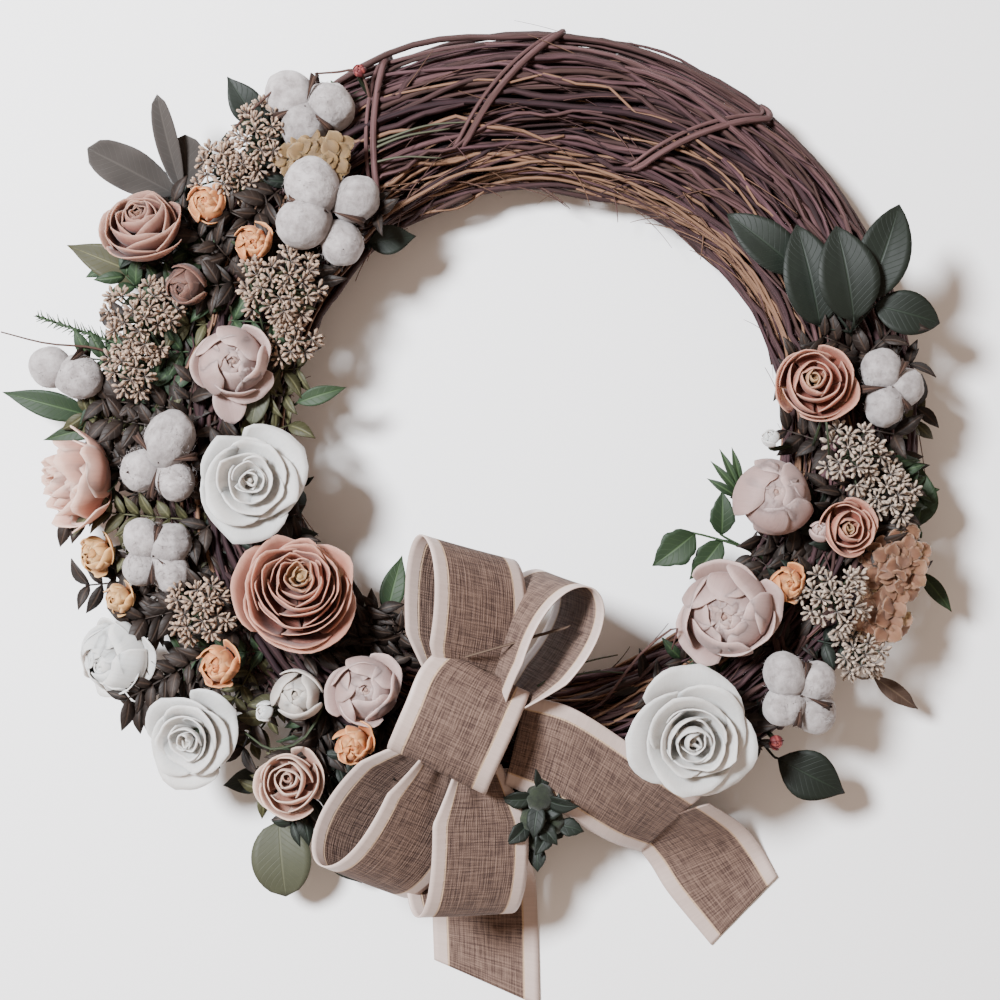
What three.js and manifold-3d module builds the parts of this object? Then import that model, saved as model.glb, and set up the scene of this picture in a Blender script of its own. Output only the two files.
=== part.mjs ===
// A floral wreath on a grapevine ring, lying on its back, in millimetres with +Z up.
// The ring's hole looks straight up, +Y is the top of the wreath and +X its right side.
import * as THREE from "three";
import { mergeVertices } from "three/addons/utils/BufferGeometryUtils.js";
import Module from "manifold-3d";

const wasm = await Module();
wasm.setup();

// Driving dimensions of the ring: an 18 inch grapevine wreath base. PROUD is how far the
// loose canes and bindings stand from the bundle, and HEEL is how much of them the back loses.
const RING_OUTER_DIAMETER = 457;
const BUNDLE_WIDTH = 70;
const BUNDLE_DEPTH = 48;
const PROUD = 6;
const HEEL = 2.4;
const RING_CENTRE = [32, 57];
const CANE_RADIUS = 2;
const BINDING_RADIUS = 2.6;

// Driving dimensions of the ribbon, blades and stems.
const RIBBON_WIDTH = 64;
const RIBBON_THICKNESS = 1.2;
const BLADE_THICKNESS = 0.9;
const STEM_RADIUS = 1.9;
const STEM_DEPTH = 12;
const CLEARANCE = 0.35;
const SEED = 1907;

const HALF_WIDTH = BUNDLE_WIDTH / 2;
const HALF_DEPTH = BUNDLE_DEPTH / 2;
const RING_RADIUS = RING_OUTER_DIAMETER / 2 - HALF_WIDTH - PROUD;
const RING_HEIGHT = HALF_DEPTH + PROUD - HEEL;

const v3 = (p) => new THREE.Vector3(...p);
const radians = THREE.MathUtils.degToRad;

// Seeded random numbers from 0 to 1.
function randomFrom(seed) {
  let state = seed >>> 0;
  return () => {
    state = (Math.imul(state, 1664525) + 1013904223) >>> 0;
    return state / 4294967296;
  };
}

// A closed geometry as a manifold solid.
function solid(geometry) {
  const bare = geometry.clone();
  bare.deleteAttribute("normal");
  bare.deleteAttribute("uv");
  const merged = mergeVertices(bare, 1e-3);
  return new wasm.Manifold(
    new wasm.Mesh({
      numProp: 3,
      vertProperties: new Float32Array(merged.getAttribute("position").array),
      triVerts: new Uint32Array(merged.index.array),
    }),
  );
}

// A manifold solid as a geometry with flat faces.
function geometryOf(made) {
  const mesh = made.getMesh();
  const geometry = new THREE.BufferGeometry();
  geometry.setAttribute("position", new THREE.BufferAttribute(mesh.vertProperties, 3));
  geometry.setIndex(new THREE.BufferAttribute(mesh.triVerts, 1));
  const flat = geometry.toNonIndexed();
  flat.computeVertexNormals();
  return flat;
}

// The largest closed body of a solid: loose scraps are dropped.
function largest(made) {
  const bodies = made.decompose();
  return bodies.reduce((best, body) => (body.volume() > best.volume() ? body : best));
}

const join = (solids) => solids.reduce((whole, piece) => whole.add(piece));

// Moves every vertex of a geometry by a rule that edits the point in place.
function reshape(geometry, rule) {
  const place = geometry.getAttribute("position");
  const point = new THREE.Vector3();
  for (let i = 0; i < place.count; i += 1) {
    point.fromBufferAttribute(place, i);
    rule(point, i);
    place.setXYZ(i, point.x, point.y, point.z);
  }
  return geometry;
}

// Turns a geometry made round +Z so that it faces along axis, and moves it to a place.
function stand(geometry, at, axis) {
  const turn = new THREE.Quaternion().setFromUnitVectors(new THREE.Vector3(0, 0, 1), axis);
  geometry.applyQuaternion(turn);
  geometry.translate(at.x, at.y, at.z);
  return geometry;
}

// Skins sections of equally many points into one closed blade or tube.
// The second half of each section is split like the first, so a waved blade never crosses itself.
function skin(sections) {
  const count = sections[0].length;
  const points = sections.flat();
  const index = [];
  for (let s = 0; s + 1 < sections.length; s += 1) {
    for (let k = 0; k < count; k += 1) {
      const a = s * count + k;
      const b = s * count + ((k + 1) % count);
      const c = a + count;
      const d = b + count;
      if (k < count / 2) index.push(a, b, d, a, d, c);
      else index.push(a, b, c, b, d, c);
    }
  }
  const last = (sections.length - 1) * count;
  for (let k = 1; k + 1 < count; k += 1) {
    index.push(0, k + 1, k);
    index.push(last, last + k, last + k + 1);
  }
  const geometry = new THREE.BufferGeometry().setFromPoints(points);
  geometry.setIndex(index);
  const made = solid(geometry);
  if (made.volume() >= 0) return made;
  const flipped = [];
  for (let i = 0; i < index.length; i += 3) flipped.push(index[i], index[i + 2], index[i + 1]);
  geometry.setIndex(flipped);
  return solid(geometry);
}

// A straight rod with three sides.
function rod(from, to, radius) {
  const length = from.distanceTo(to);
  const geometry = new THREE.CylinderGeometry(radius, radius, length, 3);
  geometry.rotateX(Math.PI / 2);
  geometry.translate(0, 0, length / 2);
  return solid(stand(geometry, from, to.clone().sub(from).normalize()));
}

// The ring's tube, seen from the top: how far a point round its section lies from the axis.
function onRing(around, section, proud) {
  const reach = RING_RADIUS + (HALF_WIDTH + proud) * Math.cos(section);
  const height = RING_HEIGHT + (HALF_DEPTH + proud) * Math.sin(section);
  return new THREE.Vector3(reach * Math.cos(around), reach * Math.sin(around), height);
}

class ClosedCane extends THREE.Curve {
  constructor(rule) {
    super();
    this.rule = rule;
  }

  getPoint(t, target = new THREE.Vector3()) {
    return target.copy(this.rule(t * 2 * Math.PI));
  }
}

const cane = (rule, steps, radius, sides) =>
  solid(new THREE.TubeGeometry(new ClosedCane(rule), steps, radius, sides, true));

// The ring: a body ridged like bundled canes, loose canes round it, and bindings across it.
const RIDGES = 6;
const RIDGE_DEPTH = 5;
const BODY_STEPS = 30;
const LOOSE_CANES = 3;
const LOOSE_CANE_STEPS = 18;
const BINDING_PLACES = [94.6, 63.6, 215, 318];
const BINDING_SLANT = 8.5;
const BINDING_STEPS = 12;

function ringBody() {
  const twist = 2 / RIDGES;
  const torus = new THREE.TorusGeometry(RING_RADIUS, 10, 2 * RIDGES, BODY_STEPS);
  return reshape(torus, (p) => {
    const around = Math.atan2(p.y, p.x);
    const turn = around < -1e-6 ? around + 2 * Math.PI : around;
    const section = Math.atan2(p.z, Math.hypot(p.x, p.y) - RING_RADIUS);
    const ridge = Math.round((section / Math.PI) * RIDGES) % 2 === 0 ? 0 : -RIDGE_DEPTH;
    const swell = 1.4 * Math.sin(3 * turn) + 1 * Math.sin(5 * turn + 1);
    p.copy(onRing(turn, section + twist * turn, ridge + swell));
  });
}

function looseCane(place, random) {
  const start = radians(10 + (160 * place) / (LOOSE_CANES - 1));
  const drift = place % 2 === 0 ? 0.18 : -0.18;
  const phase = random() * 2 * Math.PI;
  const rule = (u) => {
    const section = start + 0.3 * Math.sin(u + phase) + drift * Math.sin(2 * u - phase);
    return onRing(u, section, 2.2 + 1.8 * Math.sin(3 * u + phase));
  };
  return cane(rule, LOOSE_CANE_STEPS, CANE_RADIUS, 3);
}

function binding(middle) {
  const around = (section) => radians(middle - BINDING_SLANT * Math.cos(section));
  const rule = (section) => onRing(around(section), section, PROUD - BINDING_RADIUS);
  return cane(rule, BINDING_STEPS, BINDING_RADIUS, 3);
}

function vineRing(random) {
  const loose = Array.from({ length: LOOSE_CANES }, (_, i) => looseCane(i, random));
  const whole = join([solid(ringBody()), ...loose, ...BINDING_PLACES.map(binding)]);
  return whole.trimByPlane([0, 0, 1], 0);
}

// A smooth ring that holds all the canes, for cutting thin leaves and stalks clear of them.
function ringGuard() {
  const torus = new THREE.TorusGeometry(RING_RADIUS, 10, 12, BODY_STEPS);
  const grown = reshape(torus, (p) => {
    const section = Math.atan2(p.z, Math.hypot(p.x, p.y) - RING_RADIUS);
    p.copy(onRing(Math.atan2(p.y, p.x), section, PROUD + 2 * CLEARANCE));
  });
  return solid(grown);
}

// A stalk from the joint to the base and a blade from there to the tip, in one skin: the blade
// is folded along its rib, arched upwards and waved at its edges.
const STALK_HALF_WIDTH = 1.1;
const HEEL_LENGTH = 1.7;
const BROAD_BLADE = 20;

function leaf(joint, { base, tip, width, arch = 4, fold = 0.18, wave = 0, roll = 0 }) {
  const from = v3(base);
  const to = v3(tip);
  const along = to.clone().sub(from).normalize();
  const side = new THREE.Vector3().crossVectors(along, new THREE.Vector3(0, 0, 1)).normalize();
  side.applyAxisAngle(along, radians(roll));
  const up = new THREE.Vector3().crossVectors(side, along).normalize();
  const section = (rib, half, ripple) => {
    const edge = (sign) =>
      rib
        .clone()
        .addScaledVector(side, sign * half)
        .addScaledVector(up, fold * half + sign * ripple);
    const left = edge(-1);
    const right = edge(1);
    const top = [left, rib, right].map((p) => p.clone().addScaledVector(up, BLADE_THICKNESS / 2));
    const low = [right, rib, left].map((p) => p.clone().addScaledVector(up, -BLADE_THICKNESS / 2));
    return [...top, ...low];
  };
  const steps = width > BROAD_BLADE ? 4 : 3;
  const heel = joint.clone().sub(from).setLength(HEEL_LENGTH).add(joint);
  const sections = [section(heel, STALK_HALF_WIDTH, 0)];
  for (let i = 0; i <= steps; i += 1) {
    const t = i / steps;
    const half = Math.max(STALK_HALF_WIDTH, 0.5 * width * Math.sin(Math.PI * t ** 0.85) ** 0.8);
    const rib = from.clone().lerp(to, t).addScaledVector(up, arch * Math.sin(Math.PI * t));
    sections.push(section(rib, half, wave * Math.sin(4 * Math.PI * t)));
  }
  return skin(sections);
}

// The swelling that the stalks of a spray grow from.
const KNUCKLE_RADIUS = 3.6;

function knuckle(at) {
  const ball = new THREE.OctahedronGeometry(KNUCKLE_RADIUS, 0);
  ball.translate(at.x, at.y, at.z);
  return solid(ball);
}

// A flat strip through stations, each a middle point and a half width vector.
function strip(stations, thickness = RIBBON_THICKNESS, grow = 0) {
  const sections = stations.map(({ p, w }, i) => {
    const before = stations[Math.max(0, i - 1)].p;
    const after = stations[Math.min(stations.length - 1, i + 1)].p;
    const along = after.clone().sub(before);
    const half = w.clone().setLength(w.length() + grow);
    const out = new THREE.Vector3().crossVectors(along, half).normalize();
    out.multiplyScalar(thickness / 2 + grow);
    const left = p.clone().sub(half);
    const right = p.clone().add(half);
    return [
      left.clone().add(out),
      right.clone().add(out),
      right.clone().sub(out),
      left.clone().sub(out),
    ];
  });
  return skin(sections);
}

// Where each ribbon loop starts, which way it runs and how its width lies.
const KNOT = { at: [-36, -172, 80], half: [19, 24, 12] };
const LOOPS = [
  { from: [-43, -164, 83], to: [-38, -68, 104], width: [0.84, -0.26, -0.48], bulge: 20 },
  { from: [-26, -166, 82], to: [17, -86, 92], width: [0.38, -0.1, 0.92], bulge: 36 },
  { from: [-48, -176, 83], to: [-102, -256, 76], width: [0.66, -0.4, -0.64], bulge: 42 },
  { from: [-34, -184, 77], to: [-42, -280, 62], width: [0.84, -0.08, -0.54], bulge: 28 },
];
const LOOP_STATIONS = 10;
const LOOP_START = 0.55;
const LOOP_BELLY = 0.65;
const GATHERED = 0.35;
const OPENING_RATE = 1.6;

// The stations of one loop: out along its upper side, round its end, back along its lower side.
// The ribbon is gathered narrow at the knot and opens to its width on the way out.
function loopStations({ from, to, width, bulge }) {
  const start = v3(from);
  const along = v3(to).sub(start);
  const half = v3(width).setLength(RIBBON_WIDTH / 2);
  const out = new THREE.Vector3().crossVectors(half, along).normalize();
  if (out.z < 0) out.negate();
  const stations = [];
  for (let i = 0; i < LOOP_STATIONS; i += 1) {
    const turn = LOOP_START + ((2 * Math.PI - 2 * LOOP_START) * i) / (LOOP_STATIONS - 1);
    const reach = (1 - Math.cos(turn)) / 2;
    const rise = LOOP_BELLY * bulge * Math.sin(turn) * Math.sin(turn / 2);
    const open = Math.min(1, GATHERED + OPENING_RATE * reach);
    stations.push({
      p: start.clone().addScaledVector(along, reach).addScaledVector(out, rise),
      w: half.clone().multiplyScalar(open),
    });
  }
  return stations;
}

// The loop that covers the knot: it leaves the knot's top, rolls over and tucks under again.
const COVER_WIDTH = [0.84, -0.46, -0.28];
const COVER_LOOP = [
  { p: [-32, -158, 82], open: 0.5 },
  { p: [-27, -142, 92], open: 0.75 },
  { p: [-29, -137, 102], open: 0.9 },
  { p: [-37, -148, 110], open: 1 },
  { p: [-45, -166, 112], open: 1 },
  { p: [-52, -182, 107], open: 1 },
  { p: [-56, -193, 95], open: 1 },
  { p: [-53, -190, 84], open: 0.9 },
  { p: [-44, -181, 79], open: 0.6 },
];

function coverStations() {
  const half = v3(COVER_WIDTH).setLength(RIBBON_WIDTH / 2);
  return COVER_LOOP.map(({ p, open }) => ({ p: v3(p), w: half.clone().multiplyScalar(open) }));
}

// The tails, as rows of a middle point and a half width vector.
const TAIL_BOTTOM = [
  { p: [-34, -196, 69], w: [20, 0, -3] },
  { p: [-34, -222, 58], w: [22, 0, -2] },
  { p: [-33, -250, 30], w: [27, 0, 0] },
  { p: [-31, -268, 9], w: [31, 0, 0] },
  { p: [-30, -292, 2.4], w: [32, 0, 0] },
  { p: [-29, -336, 1.4], w: [32, -14, 0] },
];
const TAIL_RIGHT = [
  { p: [-12, -178, 78], w: [6, 26, 8] },
  { p: [12, -187, 74], w: [8, 28, 10] },
  { p: [36, -203, 64], w: [12, 26, 9] },
  { p: [60, -221, 50], w: [14, 23, 16] },
  { p: [80, -234, 32], w: [16, 20, 19] },
];
const TAIL_END = [
  { p: [77, -229, 36], w: [24, 10, 14] },
  { p: [97, -249, 12], w: [27, 13, 5] },
  { p: [110, -267, 4], w: [28, 14, 0] },
  { p: [128, -292, 1.6], w: [20, 21, 0] },
];

const tableStations = (table) => table.map(({ p, w }) => ({ p: v3(p), w: v3(w) }));

// A bow of one wired ribbon: its loops are sunk into the knot that gathers them.
function bowLoops(grow = 0) {
  const knot = new THREE.SphereGeometry(1, 6, 4);
  knot.scale(...KNOT.half.map((half) => half + grow));
  knot.translate(...KNOT.at);
  const routes = [...LOOPS.map(loopStations), coverStations()];
  return join([solid(knot), ...routes.map((route) => strip(route, RIBBON_THICKNESS, grow))]);
}

const tail = (table, grow) => strip(tableStations(table), RIBBON_THICKNESS, grow);
const tailBottom = (grow = 0) => tail(TAIL_BOTTOM, grow);
const tailRight = (grow = 0) => tail(TAIL_RIGHT, grow).add(tail(TAIL_END, grow));

// Bloom forms, as shares of the radius: petals stand in rings of folded lips round a core.
const FORMS = {
  rose: {
    layers: 4, petals: 5, sides: 15, cup: 0.5, rim: 0, crown: 0.44,
    core: 0.2, depth: 0.2, lobe: 0.14, wave: 0.1,
  },
  openRose: {
    layers: 3, petals: 4, sides: 12, cup: 0.5, rim: 0, crown: 0.44,
    core: 0.24, depth: 0.22, lobe: 0.14, wave: 0.1,
  },
  ranunculus: {
    layers: 4, petals: 4, sides: 12, cup: 0.52, rim: 0.12, crown: 0.42,
    core: 0.26, depth: 0.16, lobe: 0.08, wave: 0.07,
  },
  small: {
    layers: 3, petals: 5, sides: 10, cup: 0.52, rim: 0.1, crown: 0.46,
    core: 0.22, depth: 0.2, lobe: 0.1, wave: 0.1,
  },
  peony: {
    layers: 3, petals: 4, sides: 12, cup: 0.62, rim: 0.08, crown: 0.6,
    core: 0.26, depth: 0.16, lobe: 0.12, wave: 0.14,
  },
  bud: {
    layers: 2, petals: 4, sides: 8, cup: 0.6, rim: 0.1, crown: 0.5,
    core: 0.3, depth: 0.2, lobe: 0.1, wave: 0.1,
  },
  pompon: {
    layers: 2, petals: 4, sides: 8, cup: 0.75, rim: 0.1, crown: 0.66,
    core: 0.36, depth: 0.2, lobe: 0.18, wave: 0.12,
  },
};

// Half the height of a form, and the middle of its height above its face.
const formHalf = (form) => (form.cup + form.crown + form.wave) / 2;
const formMiddle = (form) => (form.crown + form.wave - form.cup) / 2;

// The profile: a cup below, then for each layer of petals its rim, its lip and the fold inside it.
const CUP_ROWS = 3;
const LAYER_ROWS = 3;
const FOLD_SHARE = 0.3;
const LOBE_MIDDLE = 0.6;

function bloomProfile(form) {
  const profile = [
    [0, -form.cup],
    [0.3, -form.cup + 0.02],
    [0.82, -0.5 * form.cup],
  ];
  const step = (1 - form.core) / form.layers;
  for (let k = 0; k < form.layers; k += 1) {
    const share = k / form.layers;
    const lip = 1 - step * k;
    const height = form.rim + (form.crown - form.rim) * Math.sin((Math.PI / 2) * share);
    profile.push([lip, height - 0.03]);
    profile.push([lip - 0.28 * step, height + 0.03]);
    profile.push([lip - 0.8 * step, height - form.depth]);
  }
  profile.push([0, form.crown]);
  return profile;
}

// One bloom round +Z with its petals as waved, overlapping lips.
function bloomGeometry(form, radius) {
  const profile = bloomProfile(form);
  const points = profile.map(([r, h]) => new THREE.Vector2(r * radius, h * radius));
  const geometry = new THREE.LatheGeometry(points, form.sides);
  geometry.rotateX(Math.PI / 2);
  const rowCount = profile.length;
  return reshape(geometry, (p, i) => {
    const row = i % rowCount;
    if (row < CUP_ROWS || row === rowCount - 1) return;
    const layer = Math.floor((row - CUP_ROWS) / LAYER_ROWS);
    const angle = Math.atan2(p.y, p.x) + (layer % 2) * (Math.PI / form.petals);
    const lobe = Math.abs(Math.cos((form.petals * angle) / 2)) - LOBE_MIDDLE;
    const lip = (row - CUP_ROWS) % LAYER_ROWS === LAYER_ROWS - 1 ? FOLD_SHARE : 1;
    const widen = 1 + form.lobe * lobe * lip;
    p.x *= widen;
    p.y *= widen;
    p.z += radius * form.wave * lobe * lip;
  });
}

// The unit vector that leans from straight up towards a compass direction.
function leaning([direction, tilt]) {
  const lean = radians(tilt);
  const angle = radians(direction);
  const flat = new THREE.Vector3(Math.cos(angle), Math.sin(angle), 0);
  return flat.multiplyScalar(Math.sin(lean)).setZ(Math.cos(lean));
}

// Blooms: name, form, place of the face's middle, radius, lean as direction and tilt in degrees,
// and colour.
const ROSE_WHITE = 0xd9dad8;
const BLUSH = 0xdcc7c6;
const DUSTY = 0xb5847a;
const ORANGE = 0xd9946c;
const GOLD = 0xe3bf86;
const BLOOMS = [
  ["rose_white_right", "rose", [86, -174, 88], 42, [296, 8], ROSE_WHITE],
  ["rose_white_left", "openRose", [-163, -31, 80], 36, [10, 10], ROSE_WHITE],
  ["ranunculus_large", "ranunculus", [-136, -97, 80], 37, [80, 20], DUSTY],
  ["rose_white_low", "openRose", [-199, -178, 60], 33, [222, 14], ROSE_WHITE],
  ["peony_blush_right", "peony", [108, -106, 76], 31, [200, 12], BLUSH],
  ["peony_blush_bud", "peony", [135, -40, 74], 25, [100, 12], BLUSH],
  ["peony_blush_left", "peony", [-173, 37, 76], 24, [340, 12], BLUSH],
  ["peony_pink_left", "peony", [-264, -30, 52], 33, [183, 62], 0xc99a8c],
  ["peony_pale_left", "peony", [-246, -134, 48], 26, [205, 32], BLUSH],
  ["ranunculus_blush", "small", [-97, -150, 78], 23, [60, 10], 0xd8b5ab],
  ["ranunculus_top_left", "small", [-226, 113, 62], 26, [105, 38], 0xb08a82],
  ["ranunculus_bud_left", "bud", [-201, 81, 68], 15, [230, 20], DUSTY],
  ["ranunculus_right", "small", [159, 24, 74], 24, [200, 10], 0xb08a78],
  ["ranunculus_right_low", "small", [176, -58, 75], 18, [20, 15], 0xb8938a],
  ["ranunculus_low", "small", [-141, -206, 62], 22, [110, 14], 0xc49a8c],
  ["rosebud_white", "pompon", [-136, -153, 76], 17.5, [90, 10], ROSE_WHITE],
  ["pompon_top", "pompon", [-189, 128, 68], 12.5, [0, 8], ORANGE],
  ["pompon_upper", "pompon", [-162, 105, 72], 12, [0, 8], ORANGE],
  ["pompon_far_left", "pompon", [-256, -73, 50], 12.5, [200, 25], GOLD],
  ["pompon_left", "pompon", [-242, -99, 54], 10, [200, 20], GOLD],
  ["pompon_low_left", "pompon", [-181, -136, 74], 13.5, [90, 6], 0xb9745a],
  ["pompon_low", "pompon", [-104, -180, 82], 12.5, [270, 6], ORANGE],
  ["pompon_right", "pompon", [143, -89, 74], 11, [100, 6], ORANGE],
];

// Cotton: each head is a few tufts, as a place and a radius.
const COTTON = 0xd6d2d4;
const COTTON_HEADS = [
  { name: "cotton_top", tufts: [[-142, 192, 56, 14], [-121, 186, 56, 15], [-134, 174, 60, 13]] },
  {
    name: "cotton_upper",
    tufts: [[-128, 136, 77, 16], [-133, 116, 76, 15], [-104, 130, 71, 13.5], [-112, 106, 68, 13]],
  },
  { name: "cotton_far_left", tufts: [[-283, 36, 48, 12], [-266, 30, 50, 13]] },
  { name: "cotton_trio", tufts: [[-209, -7, 74, 15], [-226, -24, 66, 13], [-206, -30, 72, 12]] },
  {
    name: "cotton_mid_left",
    tufts: [[-226, -64, 62, 12], [-210, -67, 64, 12], [-227, -80, 60, 11], [-212, -82, 62, 12]],
  },
  { name: "cotton_right_top", tufts: [[197, 32, 71, 12], [209, 23, 67, 12], [199, 13, 71, 12]] },
  {
    name: "cotton_right_low",
    tufts: [[141, -141, 76, 13], [157, -146, 73, 12.5], [142, -158, 74, 12.5], [158, -162, 68, 13]],
  },
];

// Filler umbels and hydrangea: domes of florets, as a place, a radius and a height.
const FILLER = 0xcdb7a6;
const UMBELS = [
  { name: "umbel_top", colour: FILLER, domes: [[-157, 166, 60, 24, 15], [-180, 146, 60, 20, 14]] },
  { name: "umbel_upper", colour: FILLER, domes: [[-146, 80, 70, 26, 16], [-141, 50, 62, 16, 13]] },
  { name: "umbel_left", colour: FILLER, domes: [[-227, 62, 60, 26, 15], [-234, 34, 58, 18, 13]] },
  { name: "umbel_low_left", colour: FILLER, domes: [[-192, -104, 68, 21, 13]] },
  { name: "umbel_right_top", colour: FILLER, domes: [[180, -16, 73, 21, 14], [203, -38, 66, 19, 13]] },
  { name: "umbel_right_low", colour: FILLER, domes: [[170, -98, 74, 22, 14], [186, -130, 60, 17, 13]] },
  { name: "hydrangea_gold", colour: GOLD, domes: [[-133, 155, 66, 13, 12], [-117, 153, 68, 12, 11]] },
  { name: "hydrangea_peach", colour: 0xc99a78, domes: [[206, -78, 60, 20, 13], [200, -108, 56, 17, 12]] },
];

// Leaves: nodes of one or more blades that spring from one joint.
const DARK_LEAF = 0x33403a;
const GREEN_LEAF = 0x4e6b57;
const LEAVES = [
  {
    name: "leaf_top",
    colour: GREEN_LEAF,
    joint: [-158, 171, 33],
    blades: [{ base: [-162, 179, 35], tip: [-181, 207, 42], width: 20, arch: 3 }],
  },
  {
    name: "leaves_lambs_ear",
    colour: 0x7e7b76,
    joint: [-207, 132, 38],
    blades: [
      { base: [-212, 138, 40], tip: [-262, 164, 46], width: 26, arch: 7, wave: 2 },
      { base: [-208, 140, 42], tip: [-220, 194, 54], width: 14, arch: 5 },
      { base: [-204, 138, 40], tip: [-205, 172, 46], width: 24, arch: 4 },
    ],
  },
  {
    name: "leaf_olive",
    colour: 0x868a6e,
    joint: [-222, 86, 36],
    blades: [{ base: [-226, 88, 38], tip: [-275, 108, 42], width: 21, arch: 5 }],
  },
  {
    name: "leaves_far_left",
    colour: 0x6f7d6d,
    joint: [-240, 8, 32],
    blades: [
      { base: [-262, 8, 32], tip: [-314, 22, 38], width: 17, arch: 5 },
      { base: [-250, 4, 30], tip: [-292, -6, 30], width: 12, arch: 3 },
    ],
  },
  {
    name: "leaf_inner_left",
    colour: GREEN_LEAF,
    joint: [-142, 14, 50],
    blades: [{ base: [-139, 15, 52], tip: [-110, 24, 52], width: 11, arch: 3 }],
  },
  {
    name: "leaf_vine_end",
    colour: DARK_LEAF,
    joint: [-98, 106, 46],
    blades: [{ base: [-98, 108, 46], tip: [-70, 113, 44], width: 18, arch: 4 }],
  },
  {
    name: "leaf_eucalyptus",
    colour: 0x8fa38b,
    joint: [-150, -214, 30],
    blades: [{ base: [-152, -232, 30], tip: [-148, -277, 30], width: 36, arch: 4, fold: 0.08 }],
  },
  {
    name: "leaves_dark_low",
    colour: DARK_LEAF,
    joint: [-150, -192, 26],
    blades: [
      { base: [-158, -206, 24], tip: [-186, -212, 24], width: 16, arch: 3 },
      { base: [-124, -244, 20], tip: [-104, -272, 16], width: 18, arch: 3 },
    ],
  },
  {
    name: "leaves_rose_top_right",
    colour: DARK_LEAF,
    joint: [181, 55, 62],
    blades: [
      { base: [189, 80, 70], tip: [206, 126, 72], width: 28, arch: 5, wave: 1 },
      { base: [196, 69, 67], tip: [232, 60, 64], width: 27, arch: 5, wave: 1 },
      { base: [177, 67, 73], tip: [172, 112, 77], width: 30, arch: 5, wave: 1 },
      { base: [161, 70, 66], tip: [156, 116, 68], width: 28, arch: 3, wave: 1, roll: -8 },
      { base: [150, 92, 60], tip: [110, 122, 63], width: 25, arch: 3, wave: 1 },
    ],
  },
  {
    name: "leaves_rose_inner_right",
    colour: GREEN_LEAF,
    joint: [123, -70, 48],
    blades: [
      { base: [93, -61, 50], tip: [68, -80, 50], width: 21, arch: 3 },
      { base: [108, -62, 52], tip: [108, -36, 56], width: 15, arch: 3 },
      { base: [109, -65, 48], tip: [90, -88, 47], width: 16, arch: 2 },
    ],
  },
  {
    name: "leaves_right_edge",
    colour: 0x5e6a52,
    joint: [226, -64, 36],
    blades: [
      { base: [226, -57, 38], tip: [226, -22, 44], width: 20, arch: 3 },
      { base: [228, -84, 32], tip: [247, -108, 32], width: 10, arch: 5, wave: 1 },
    ],
  },
  {
    name: "leaf_dried_low_right",
    colour: 0x7a6a52,
    joint: [190, -146, 34],
    blades: [{ base: [200, -146, 34], tip: [228, -166, 26], width: 11, arch: 4, wave: 1 }],
  },
  {
    name: "leaf_low_right",
    colour: DARK_LEAF,
    joint: [138, -190, 42],
    blades: [{ base: [142, -193, 44], tip: [182, -214, 40], width: 30, arch: 5, wave: 1 }],
  },
  {
    name: "leaf_bow_left",
    colour: DARK_LEAF,
    joint: [-88, -112, 50],
    blades: [{ base: [-87, -109, 52], tip: [-78, -74, 48], width: 15, arch: 3 }],
  },
];

// Needled sprigs: a stem with short needles on both sides.
const SPRIGS = [
  {
    name: "sprig_far_left",
    colour: 0x55664f,
    from: [-232, 46, 44],
    to: [-292, 66, 48],
    needles: 6,
    reach: 12,
  },
  {
    name: "sprig_right",
    colour: 0x5f7455,
    from: [124, -42, 50],
    to: [107, -12, 58],
    needles: 4,
    reach: 9,
  },
];

const BERRIES = {
  name: "berry_cluster",
  colour: 0x56684a,
  joint: [3, -212, 60],
  balls: [[2, -212, 66, 9], [-2, -225, 62, 9], [9, -228, 58, 8], [2, -238, 54, 8.5]],
};

// Where a line from a place to the ring's core meets the ring, and the end of a stem along it.
function seatOf(place) {
  const around = Math.atan2(place.y, place.x);
  const core = new THREE.Vector3(
    RING_RADIUS * Math.cos(around),
    RING_RADIUS * Math.sin(around),
    RING_HEIGHT,
  );
  const inward = core.clone().sub(place).normalize();
  const radial = Math.hypot(inward.x, inward.y) / (HALF_WIDTH + PROUD);
  const upright = inward.z / (HALF_DEPTH + PROUD);
  const surface = 1 / Math.hypot(radial, upright);
  const entry = core.clone().addScaledVector(inward, -surface);
  return { core, inward, entry, end: entry.clone().addScaledVector(inward, STEM_DEPTH + PROUD) };
}

// A stem from a place into the ring, and the hole that it stands in.
function stemOf(place) {
  const seat = seatOf(place);
  const head = place.clone().addScaledVector(seat.inward, -STEM_RADIUS);
  return {
    stem: rod(head, seat.end, STEM_RADIUS),
    hole: rod(
      place,
      seat.end.clone().addScaledVector(seat.inward, 1),
      STEM_RADIUS + 2 * CLEARANCE,
    ),
  };
}

// Trims a solid flat where it would press into the ring's canes.
function offRing(made, place) {
  const seat = seatOf(place);
  const outward = seat.inward.clone().negate();
  const reach = seat.entry.dot(outward) + CLEARANCE;
  return made.trimByPlane(outward.toArray(), reach);
}

const SHELL_REACH = 1.26;

// An ellipsoid of few faces that holds a whole bloom, dome or tuft with its clearance.
function shell({ middle, axis, radius, half }) {
  const ball = new THREE.IcosahedronGeometry(SHELL_REACH, 0);
  ball.scale(radius + CLEARANCE, radius + CLEARANCE, half + CLEARANCE);
  return solid(stand(ball, middle, axis));
}

// How far an ellipsoid reaches from its middle in a direction.
function reachOf({ axis, radius, half }, toward) {
  const along = toward.dot(axis);
  return Math.hypot(radius * Math.sqrt(Math.max(0, 1 - along * along)), half * along);
}

// Domes and tufts: which faces bear florets, how far the florets rise, and how domes lean.
const FLORET_EDGE = 0.25;
const FILLER_RAISE = 0.34;
const HYDRANGEA_RAISE = 0.2;
const LEAN_SPAN = 90;
const LEAN_SHARE = 0.4;
const TUFT_SEAMS = 4;
const SEAM_DEPTH = 0.2;
const FINE_TUFT = 12.5;
const FINE_DOME = 22;

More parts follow.
